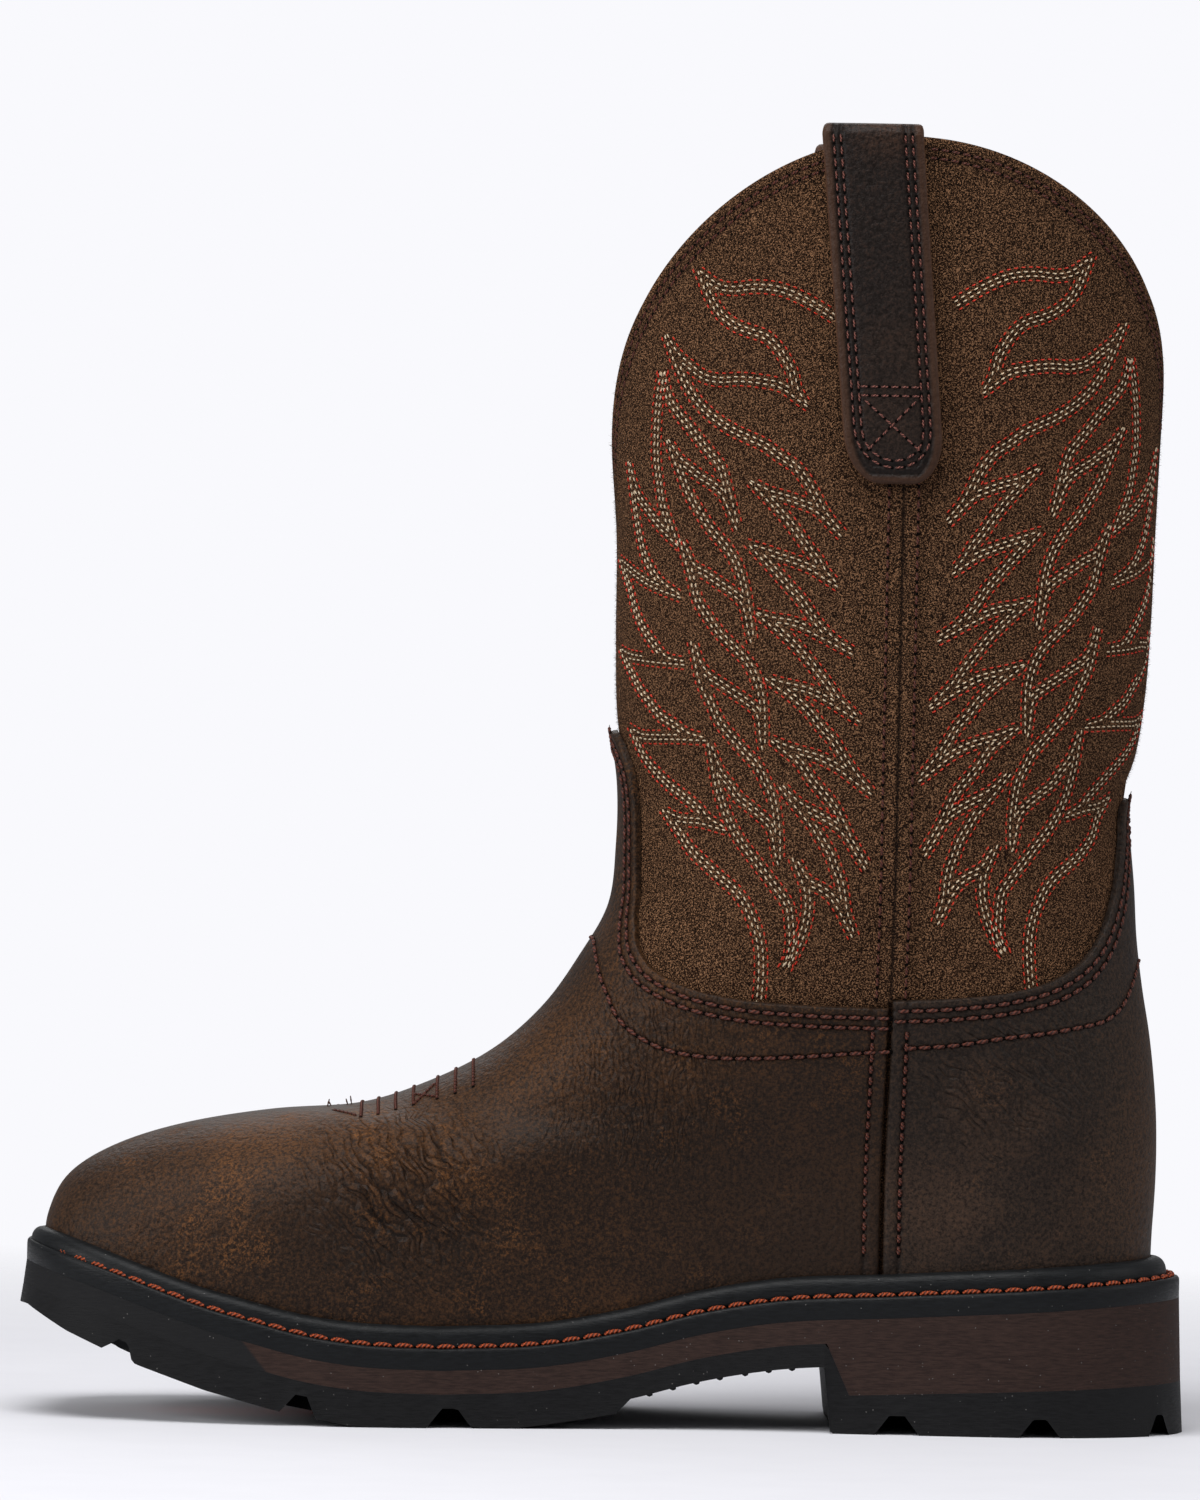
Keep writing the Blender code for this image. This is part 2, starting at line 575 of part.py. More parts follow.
def slab_faces(count):
    """Faces of a slab of rungs. Points: medial top, lateral top, medial bottom, lateral bottom."""
    faces = []
    for number in range(count - 1):
        tops = (number, number + 1, count + number + 1, count + number)
        bottoms = tuple(2 * count + place for place in reversed(tops))
        medial = (number, 2 * count + number, 2 * count + number + 1, number + 1)
        lateral = (count + number, count + number + 1, 3 * count + number + 1, 3 * count + number)
        for a, b, c, d in (tops, bottoms, medial, lateral):
            faces += [(a, b, c), (a, c, d)]
    return faces


def closed_faces(points, faces):
    """Drops the triangles that collapse where a slab's two sides meet."""
    rounded = np.round(points, 7)
    keys = [tuple(point) for point in rounded]
    return [face for face in faces if len({keys[place] for place in face}) == 3]


def slab(name, form, girths, offsets, heights, finish):
    """A flat layer across the foot, from its two outlines and its top and bottom heights."""
    medial, lateral = girths
    points = []
    for offset, height in zip(offsets, heights):
        for side in (medial, 4.0 - lateral):
            outline = seat_outline(form, side, offset)
            points.append(with_height(outline, height))
    points = np.concatenate(points)
    return solid(name, points, closed_faces(points, slab_faces(len(medial))), finish)


def lift_bottom(x):
    """Underside of the midsole: level with the foot in front, a heel lift behind the breast."""
    front = ledge_height(x) - WELT_BASE - MIDSOLE
    share = np.clip((np.asarray(x, float) - SOLE_BACK) / (BREAST_PLACE - SOLE_BACK), 0.0, 1.0)
    heel = HEEL_RUBBER_BACK + share * (HEEL_RUBBER_FRONT - HEEL_RUBBER_BACK)
    breast_top = BREAST_PLACE + BREAST_UNDERCUT - LIFT_SETBACK + LIFT_SLOPE
    t = np.clip((np.asarray(x, float) - (breast_top - LIFT_SLOPE)) / LIFT_SLOPE, 0.0, 1.0)
    return heel * (1 - t) + front * t


def tread_bottom(x):
    """Underside of the outsole: heel on the floor, arch, forefoot on the floor, toe spring."""
    x = np.asarray(x, float)
    arch = ledge_height(x) - WELT_BASE - MIDSOLE - ARCH_RUBBER
    forefoot = np.interp(sole_share(x), column(TREAD, 0), column(TREAD, 1)) * TOE_TREAD_RISE
    breast = np.clip((x - BREAST_PLACE) / BREAST_UNDERCUT, 0.0, 1.0)
    step = np.clip((x - ARCH_STEP_PLACE) / ARCH_STEP_SLOPE, 0.0, 1.0)
    return np.where(x < ARCH_STEP_PLACE, arch * breast, arch * (1 - step) + forefoot * step)


def make_midsole(form, trims, finish):
    breast_top = BREAST_PLACE + BREAST_UNDERCUT - LIFT_SETBACK + LIFT_SLOPE
    girths = rungs(form, trims, RIM, (breast_top - LIFT_SLOPE, breast_top))
    return slab("midsole", form, girths, (RIM, RIM + SOLE_FLARE / 2), (lambda x: seat_height(x) - GAP, lift_bottom), finish)


def make_outsole(form, trims, finish):
    """The black rubber unit: heel cap, arch and lugged forefoot in one piece."""
    breast_top = BREAST_PLACE + BREAST_UNDERCUT - LIFT_SETBACK + LIFT_SLOPE
    places = (breast_top - LIFT_SLOPE, BREAST_PLACE, BREAST_PLACE + BREAST_UNDERCUT + 2 * GAP,
              ARCH_STEP_PLACE, ARCH_STEP_PLACE + ARCH_STEP_SLOPE,
              SOLE_BACK + TREAD[4][0] * SOLE_LENGTH, SOLE_BACK + TREAD[5][0] * SOLE_LENGTH)
    girths = rungs(form, trims, RIM, places)
    made = slab("outsole", form, girths, (RIM + SOLE_FLARE / 2, RIM + SOLE_FLARE), (lambda x: lift_bottom(x) - GAP, tread_bottom), finish)
    cut(made, groove_cutters(form) + channel_cutters())
    return made


def prism(name, outline, low, high):
    """A straight prism along Y from an outline of (x, z) points."""
    count = len(outline)
    points = [(x, low, z) for x, z in outline] + [(x, high, z) for x, z in outline]
    faces = [tuple(range(count)), tuple(range(2 * count - 1, count - 1, -1))]
    faces += [(n, n + count, (n + 1) % count + count, (n + 1) % count) for n in range(count)]
    return solid(name, np.array(points), faces, bpy.data.materials[0])


def groove_cutters(form):
    """Flared notches cut in from both edges of the sole, square to the tread's underside."""
    cutters = []
    for number, (share, half, depth) in enumerate(GROOVES):
        place = SOLE_BACK + share * SOLE_LENGTH
        reach = GROOVE_DEPTH * depth
        wide, narrow = half * GROOVE_DEPTH, half * GROOVE_DEPTH - GROOVE_FLARE * min(1.0, half * 0.9)
        slope = float(tread_bottom(place + wide) - tread_bottom(place - wide)) / (2 * wide)
        angle = math.atan(slope)
        low = float(tread_bottom(place))
        outline = []
        flare = (wide - narrow) / reach
        for along, up in ((-wide - flare * reach, -reach), (wide + flare * reach, -reach), (narrow, reach), (-narrow, reach)):
            outline.append((place + along * math.cos(angle) - up * math.sin(angle),
                            low + along * math.sin(angle) + up * math.cos(angle)))
        medial, lateral = outline_girths(form, RIM, np.array([place]))
        near = float(seat_outline(form, medial, RIM)[0, 1])
        far = float(seat_outline(form, 4.0 - lateral, RIM)[0, 1])
        inner = min(GROOVE_REACH, near - CHANNEL_WIDTH / 2)
        cutters.append(prism(f"groove_medial_{number}", outline, near - inner, near + GROOVE_REACH))
        inner = min(GROOVE_REACH, -far - CHANNEL_WIDTH / 2)
        cutters.append(prism(f"groove_lateral_{number}", outline, far - GROOVE_REACH, far + inner))
    return cutters


def channel_cutters():
    """Shallow recesses along the middle of the heel and forefoot tread."""
    cutters = []
    for number, (start, end) in enumerate(CHANNELS):
        places = SOLE_BACK + np.linspace(start, end, 8) * SOLE_LENGTH
        top = [(float(x), float(tread_bottom(x)) + CHANNEL_DEPTH) for x in places]
        bottom = [(float(x), float(tread_bottom(x)) - CHANNEL_DEPTH) for x in places[::-1]]
        cutters.append(prism(f"channel_{number}", top + bottom, -CHANNEL_WIDTH / 2, CHANNEL_WIDTH / 2))
    return cutters


def cut(target, cutters):
    """Takes the cutters out of the target, one by one, and removes them."""
    for cutter in cutters:
        modifier = target.modifiers.new("cut", "BOOLEAN")
        modifier.operation = "DIFFERENCE"
        modifier.object = cutter
        cutter.hide_render = True
        cutter.display_type = "WIRE"
    graph = bpy.context.evaluated_depsgraph_get()
    result = bpy.data.meshes.new_from_object(target.evaluated_get(graph))
    target.modifiers.clear()
    target.data = result
    for cutter in cutters:
        bpy.data.objects.remove(cutter)


def make_insole(form, trims, finish):
    """The footbed inside the upper, resting on the midsole."""
    girths = rungs(form, trims, -WALL - GAP)
    return slab("insole", form, girths, (-WALL - GAP, -WALL - GAP),
                (lambda x: seat_height(x) + INSOLE, seat_height), finish)


def make_strap(form, name, seam, finish):
    """A pull strap: a broad leather band sewn outside the collar, over it, and down inside."""
    toward_front = 1.0 if seam == 1.0 else -1.0
    quarter = 1 if seam == 1.0 else 2
    stand = SEAM_RIDGE + GAP
    outside_low = COLLAR_HEIGHT - STRAP_DROP
    outside_levels = np.concatenate((outside_low + STRAP_WIDTH / 2 * (1 - np.cos(np.linspace(0.0, math.pi / 2, 5))),
                                     np.linspace(outside_low + STRAP_WIDTH / 2, COLLAR_HEIGHT, 6)[1:]))
    inside_levels = np.linspace(COLLAR_HEIGHT, COLLAR_HEIGHT - STRAP_INNER_DROP, 4)
    across = np.linspace(-1.0, 1.0, 7)
    faces_in, faces_out = [], []

    def row(level, half, lift):
        off = STRAP_AHEAD + STRAP_LEAN * (level - outside_low) + across * half
        girth = seam + toward_front * off / form.quarter_length(0.9, quarter)
        height = form.height_of(np.full(len(girth), level), girth)
        return form.at(height, girth, np.full(len(girth), lift))

    for level in outside_levels:
        rise = min(1.0, (level - outside_low) / (STRAP_WIDTH / 2))
        half = STRAP_END_WIDTH + (STRAP_WIDTH - STRAP_END_WIDTH) * (level - outside_low) / STRAP_DROP
        half = half / 2 * (0.30 + 0.70 * math.sqrt(max(0.0, 1 - (1 - rise) ** 2)))
        faces_in.append(row(level, half, stand))
        faces_out.append(row(level, half, stand + STRAP_THICKNESS))
    outer_edge, inner_edge = stand, -WALL - GAP
    middle, radius = (outer_edge + inner_edge) / 2, (outer_edge - inner_edge) / 2
    for angle in np.linspace(0.0, math.pi, 7)[1:-1]:
        for store, thick in ((faces_in, 0.0), (faces_out, STRAP_THICKNESS)):
            edge = row(COLLAR_HEIGHT, STRAP_WIDTH / 2, middle + (radius + thick) * math.cos(angle))
            edge[:, 2] += STRAP_CLEARANCE * math.sin(angle) + (GAP + thick) * math.sin(angle)
            store.append(edge)
    for level in inside_levels:
        faces_in.append(row(level, STRAP_WIDTH / 2, inner_edge))
        faces_out.append(row(level, STRAP_WIDTH / 2, inner_edge - STRAP_THICKNESS))
    return sheet_solid(name, np.array(faces_out), np.array(faces_in), finish)


def centre_on_origin(objects):
    """Moves the boot so that the origin is the middle of its footprint, on the floor."""
    bpy.context.view_layer.update()
    corners = np.array([tuple(vertex.co) for made in objects for vertex in made.data.vertices])
    low, high = corners.min(axis=0), corners.max(axis=0)
    shift = np.array(((low[0] + high[0]) / 2, (low[1] + high[1]) / 2, low[2]))
    for made in objects:
        made.location = tuple(-shift)


def main():
    for old in list(bpy.data.objects):
        bpy.data.objects.remove(old)
    black_rubber = material("black_rubber", (0.018, 0.019, 0.020), 0.55)
    brown_rubber = material("brown_rubber", (0.045, 0.026, 0.021), 0.60)
    oiled_leather = material("oiled_leather", (0.075, 0.042, 0.024), 0.50)
    suede = material("suede", (0.115, 0.070, 0.040), 0.90)
    strap_leather = material("strap_leather", (0.045, 0.030, 0.024), 0.50)
    lining = material("lining", (0.20, 0.15, 0.10), 0.85)
    form = Form()
    trims = lines(form)
    shares = quarter_shares(form)
    medial_seam = len(shares[0])
    lateral_seam = medial_seam + len(shares[1]) + len(shares[2])
    size = len(trims[0][1])
    made = [
        make_upper(form, trims, suede),
        make_overlay(form, trims, "vamp", medial_seam, lateral_seam, oiled_leather),
        make_overlay(form, trims, "counter", lateral_seam, size + medial_seam, oiled_leather),
        make_welt(form, trims, black_rubber),
        make_midsole(form, trims, brown_rubber),
        make_outsole(form, trims, black_rubber),
        make_insole(form, trims, lining),
        make_strap(form, "pull_strap_medial", 1.0, strap_leather),
        make_strap(form, "pull_strap_lateral", 3.0, strap_leather),
    ]
    centre_on_origin(made)


main()
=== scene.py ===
# %% [markdown]
# # Dressing a western work boot
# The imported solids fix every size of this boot. This lesson covers them with the surfaces that a buyer
# would see: napped suede with a stitched flame pattern, oiled leather with its creases, rubber and thread.
# Each surface is worked out as whole numpy arrays and handed to Blender in one go.

import math

import bmesh
import bpy
import numpy as np
from mathutils import Matrix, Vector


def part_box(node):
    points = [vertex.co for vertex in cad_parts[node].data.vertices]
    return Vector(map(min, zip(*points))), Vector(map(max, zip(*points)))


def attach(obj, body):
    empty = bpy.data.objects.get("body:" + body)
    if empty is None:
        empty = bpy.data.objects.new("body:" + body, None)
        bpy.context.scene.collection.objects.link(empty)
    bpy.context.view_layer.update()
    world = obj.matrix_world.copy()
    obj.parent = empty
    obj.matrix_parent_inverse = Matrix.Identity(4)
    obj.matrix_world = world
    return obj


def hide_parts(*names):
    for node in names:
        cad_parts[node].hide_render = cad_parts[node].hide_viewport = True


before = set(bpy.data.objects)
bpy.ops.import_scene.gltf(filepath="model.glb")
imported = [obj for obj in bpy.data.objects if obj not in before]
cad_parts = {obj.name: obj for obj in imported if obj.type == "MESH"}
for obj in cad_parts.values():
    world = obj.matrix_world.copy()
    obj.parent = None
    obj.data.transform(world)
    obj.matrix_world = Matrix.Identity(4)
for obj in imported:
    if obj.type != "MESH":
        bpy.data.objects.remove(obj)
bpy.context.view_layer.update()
print("solids:", ", ".join(sorted(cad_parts)))

# %% [markdown]
# ## Sizes
# The same last, walls and layers as in the solids, in metres: toe towards +X, medial side towards +Y.
# Keeping the numbers as shares of a few real sizes lets the whole boot follow one change.

# %% Sizes of the last and the shaft
FOOT_LENGTH = 0.2850
BALL_WIDTH = 0.0990
INSTEP_RISE = 0.0830
SHAFT_WIDTH = 0.0920
SHAFT_DEPTH = 0.1430
COLLAR_HEIGHT = 0.3364
FRONT_DIP = 0.0960
BACK_DIP = 0.0830
FRONT_DIP_POWER = 0.60
BACK_DIP_POWER = 0.53
DIP_SOFTNESS = 0.02
SEAM_PLACE = 0.0692
SEAM_LEAN = 0.0013
SHAFT_MARGIN = 0.0060
TOE_SLANT = 0.08

# %% Sizes of the walls, the overlays and the sole
WALL = 0.0024
SUEDE = 0.0014
OVERLAY = 0.0020
GAP = 0.0003
SEAM_GROOVE = 0.0010
SEAM_RIDGE = 0.0008
SEAM_RIDGE_HALF = 0.0040
SEAM_RIDGE_FLANK = 0.0016
OVERLAY_SIDE_HEIGHT = 0.1108
COUNTER_STEP = 0.0018
TONGUE_HEIGHT = 0.1815
COUNTER_HEIGHT = 0.1665
HEEL_STACK = 0.0410
FOREFOOT_STACK = 0.0203
TOE_STACK = 0.0455
TOE_TREAD_RISE = 0.0289
WELT_BASE = 0.0056
WELT_WIDTH = 0.0074
WELT_LEDGE = 0.0034
RIB_HEIGHT = 0.0058
MIDSOLE = 0.0061
ARCH_RUBBER = 0.0060
HEEL_RUBBER_BACK = 0.0136
HEEL_RUBBER_FRONT = 0.0098
INSOLE = 0.0055
SOLE_FLARE = 0.0015
BREAST_PLACE = 0.0830
BREAST_UNDERCUT = 0.0018
LIFT_SETBACK = 0.0065
LIFT_SLOPE = 0.0060
ARCH_STEP_PLACE = 0.1350
ARCH_STEP_SLOPE = 0.0040
GROOVE_DEPTH = 0.0050
GROOVE_REACH = 0.0250
GROOVE_FLARE = 0.0038
CHANNEL_DEPTH = 0.0032
CHANNEL_WIDTH = 0.0240
STRAP_WIDTH = 0.0258
STRAP_END_WIDTH = 0.0250
STRAP_THICKNESS = 0.0026
STRAP_DROP = 0.0900
STRAP_INNER_DROP = 0.0420
STRAP_AHEAD = 0.0022
STRAP_LEAN = 0.085
STRAP_CLEARANCE = 0.0003

# %% [markdown]
# ### Tables of shares
# A last is drawn as a few rings and widths. Cubic curves run through them, so a dozen rows
# are enough for the whole foot.

# %% Tables of the last, the sole and the edges
FOOT_WIDTHS = (
    (0.00, 0.320, 0.320), (0.12, 0.325, 0.330), (0.25, 0.315, 0.345), (0.38, 0.295, 0.380),
    (0.50, 0.325, 0.430), (0.60, 0.385, 0.480), (0.70, 0.445, 0.505), (0.80, 0.455, 0.495),
    (0.90, 0.420, 0.455), (1.00, 0.380, 0.405),
)
FOOT_RINGS = (
    (0.0035, 0.9920, 0.000, 0.000, 1.00, 0.955, 0.00, 0.150, 0.250, 2.20, 4.50),
    (0.0035, 1.0000, 0.125, 0.090, 1.00, 0.985, 0.00, 0.150, 0.250, 2.20, 4.50),
    (0.0028, 1.0020, 0.216, 0.172, 0.93, 1.000, 0.00, 0.152, 0.245, 2.20, 4.00),
    (0.0014, 0.9870, 0.300, 0.287, 0.82, 1.000, 0.00, 0.155, 0.245, 2.15, 3.20),
    (0.0004, 0.9470, 0.384, 0.375, 0.68, 0.990, 0.02, 0.160, 0.260, 2.10, 2.60),
    (0.0002, 0.8860, 0.480, 0.443, 0.50, 0.985, 0.08, 0.175, 0.320, 2.10, 2.25),
    (0.0012, 0.8090, 0.589, 0.490, 0.34, 0.980, 0.18, 0.195, 0.430, 2.05, 2.10),
    (0.0042, 0.7270, 0.710, 0.517, 0.20, 0.975, 0.32, 0.225, 0.510, 2.00, 2.00),
    (0.0091, 0.6620, 0.842, 0.592, 0.10, 0.970, 0.48, 0.270, 0.500, 2.00, 2.00),
    (0.0165, 0.6025, 0.987, 0.701, 0.03, 0.970, 0.62, 0.330, 0.490, 2.00, 2.00),
    (0.0225, 0.5560, 1.143, 0.845, 0.00, 0.970, 0.76, 0.390, 0.490, 2.00, 2.00),
    (0.0256, 0.5220, 1.300, 1.012, 0.00, 0.970, 0.90, 0.450, 0.500, 2.00, 2.00),
)
SHAFT_RINGS = (
    (0.0594, 0.9875, 0.0605, 0.0645, 0.950),
    (0.0643, 0.9750, 0.1160, 0.1380, 0.960),
    (0.0371, 0.9757, 0.1776, 0.2117, 0.970),
    (0.0217, 0.9937, 0.2576, 0.2940, 0.980),
    (0.0140, 0.9990, 0.3517, 0.3860, 0.990),
    (0.0098, 1.0020, 0.4627, 0.5095, 1.000),
    (0.0028, 1.0195, 0.5988, 0.6330, 1.020),
    (-0.0070, 1.0280, 0.7380, 0.7626, 1.030),
    (-0.0070, 1.0280, 1.0000, 1.0000, 1.030),
)
LEDGE_HEEL = ((0.00, 1.00), (0.12, 0.865), (0.25, 0.75), (0.36, 0.64), (0.42, 0.48), (0.48, 0.25),
              (0.55, 0.065), (0.64, 0.0))
LEDGE_TOE = ((0.64, 0.0), (0.72, 0.045), (0.76, 0.12), (0.80, 0.24), (0.84, 0.365), (0.88, 0.525),
             (0.93, 0.735), (1.00, 1.0))
TREAD = ((0.47, 0.150), (0.49, 0.140), (0.52, 0.085), (0.555, 0.030), (0.58, 0.0), (0.68, 0.0),
         (0.72, 0.017), (0.775, 0.12), (0.842, 0.30), (0.90, 0.505), (0.964, 0.79), (1.00, 1.0))
TONGUE_EDGE = ((0.00, 1.000), (0.07, 0.975), (0.12, 0.910), (0.160, 0.790), (0.178, 0.650), (0.190, 0.510),
               (0.21, 0.380), (0.26, 0.250), (0.34, 0.145), (0.46, 0.068), (0.60, 0.025), (0.80, 0.004),
               (1.00, 0.000))
COUNTER_EDGE = ((0.00, 1.000), (0.07, 0.965), (0.115, 0.865), (0.15, 0.735), (0.20, 0.560), (0.28, 0.345),
                (0.36, 0.215), (0.46, 0.120), (0.60, 0.055), (0.80, 0.016), (1.00, 0.000))
GROOVES = ((0.019, 0.55, 1.10), (0.125, 1.08, 0.95), (0.248, 1.16, 1.00), (0.632, 1.16, 1.02),
           (0.762, 0.95, 1.05), (0.918, 0.85, 0.80))
CHANNELS = ((0.075, 0.225), (0.530, 0.925))

# %% [markdown]
# ## Curves and ramps
# Three small tools carry all the shapes: a cubic curve through a table, a soft step from 0 to 1, and the
# superellipse that closes the ends of each ring.

# %% Curves, steps and roundings
def column(table, index):
    """One column of a table as an array."""
    return np.array([row[index] for row in table], float)


def curve(places, values, at):
    """Cubic Hermite curve through (places, values), with the slopes of the neighbouring points."""
    places, values, at = np.asarray(places, float), np.asarray(values, float), np.asarray(at, float)
    slopes = np.gradient(values, places)
    cell = np.clip(np.searchsorted(places, at) - 1, 0, len(places) - 2)
    width = places[cell + 1] - places[cell]
    t = np.clip((at - places[cell]) / width, 0.0, 1.0)
    start = (2 * t**3 - 3 * t**2 + 1) * values[cell] + (t**3 - 2 * t**2 + t) * width * slopes[cell]
    end = (3 * t**2 - 2 * t**3) * values[cell + 1] + (t**3 - t**2) * width * slopes[cell + 1]
    return start + end


def table_curve(table, at, index=1):
    """The curve through one column of a table, read at new places."""
    return curve(column(table, 0), column(table, index), at)


def smooth_step(low, high, at):
    """0 below low, 1 above high, and 3t^2 - 2t^3 between them."""
    t = np.clip((np.asarray(at, float) - low) / (high - low), 0.0, 1.0)
    return t * t * (3 - 2 * t)


def rounding(distance, length, power):
    """Closes a ring's end: (1 - (1 - distance / length)^power)^(1 / power)."""
    inside = np.clip(1.0 - distance / length, 0.0, 1.0)
    return (1.0 - inside**power) ** (1.0 / power)


def unit(vectors):
    """Each vector divided by its own length."""
    return vectors / np.maximum(np.linalg.norm(vectors, axis=-1, keepdims=True), 1e-12)


def read_at(at, places, points):
    """Each column of the points, read straight between its neighbours at new places."""
    return np.stack([np.interp(at, places, column_of) for column_of in points.T], axis=1)


def curve_at(at, places, points):
    """Each column of the points, read on its cubic curve at new places."""
    return np.stack([curve(places, column_of, at) for column_of in points.T], axis=1)


def travel_along(points):
    """Length run so far at each point of a line."""
    return np.concatenate(([0.0], np.cumsum(np.linalg.norm(np.diff(points, axis=0), axis=1))))


# %% Heights along the sole
RIM = GAP + OVERLAY + GAP + WELT_WIDTH
SOLE_BACK = FOOT_RINGS[0][0] * FOOT_LENGTH - RIM
SOLE_FRONT = FOOT_RINGS[0][1] * FOOT_LENGTH + RIM
SOLE_LENGTH = SOLE_FRONT - SOLE_BACK
MIDDLE_Y = -0.00238
SHIFT = np.array((SOLE_BACK - SOLE_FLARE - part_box("outsole")[0][0], MIDDLE_Y, 0.0))
print("the solids' origin lies at", np.round(SHIFT * 1000, 2), "mm of the last's own frame")


def sole_share(x):
    """Place along the sole, 0 at the back and 1 at the toe."""
    return np.clip((np.asarray(x, float) - SOLE_BACK) / SOLE_LENGTH, 0.0, 1.0)


def ledge_height(x):
    """Height of the welt's ledge: from the heel down to the ball, then up with the toe spring."""
    share = sole_share(x)
    heel = table_curve(LEDGE_HEEL, share)
    toe = table_curve(LEDGE_TOE, share)
    behind = FOREFOOT_STACK + heel * (HEEL_STACK - FOREFOOT_STACK)
    before = FOREFOOT_STACK + toe * (TOE_STACK - FOREFOOT_STACK)
    return np.where(share < LEDGE_TOE[0][0], behind, before)


def seat_height(x):
    """Underside of the welt, on which the upper and the insole stand."""
    return ledge_height(x) - WELT_BASE


# %% [markdown]
# ## The last as a surface of two numbers
# Every layer of the upper follows one form. height runs from 0 at the seat to 1 above the collar, and
# girth runs round the boot: 0 back centre, 1 medial seam, 2 front centre, 3 lateral seam, 4 back again.
# A layer is then only a range of the two numbers and a lift along the normal.

# %% The form
RINGS_DENSE = 241
CELLS_DENSE = 96
TRACE_DENSE = 481


def ring_table():
    """All rings from the seat to above the collar, with sizes in metres, one row for each ring."""
    heel_seat = float(seat_height(FOOT_RINGS[0][0] * FOOT_LENGTH))
    toe_seat = float(seat_height(FOOT_RINGS[0][1] * FOOT_LENGTH))
    rows = []
    for back, front, back_up, front_up, spring, girth, blend, *ends in FOOT_RINGS:
        rows.append((back * FOOT_LENGTH, front * FOOT_LENGTH, heel_seat + back_up * INSTEP_RISE,
                     toe_seat + front_up * INSTEP_RISE, spring, girth, blend,
                     SHAFT_RINGS[0][4] * SHAFT_WIDTH / 2, *ends))
    ankle_back, ankle_front = rows[-1][2], rows[-1][3]
    top = COLLAR_HEIGHT + SHAFT_MARGIN
    for back, front, back_up, front_up, width in SHAFT_RINGS:
        rows.append((back * SHAFT_DEPTH, front * SHAFT_DEPTH, ankle_back + back_up * (top - ankle_back),
                     ankle_front + front_up * (top - ankle_front), 0.0, FOOT_RINGS[-1][5], 1.0,
                     width * SHAFT_WIDTH / 2, 0.5, 0.5, 2.0, 2.0))
    return np.array(rows, float)


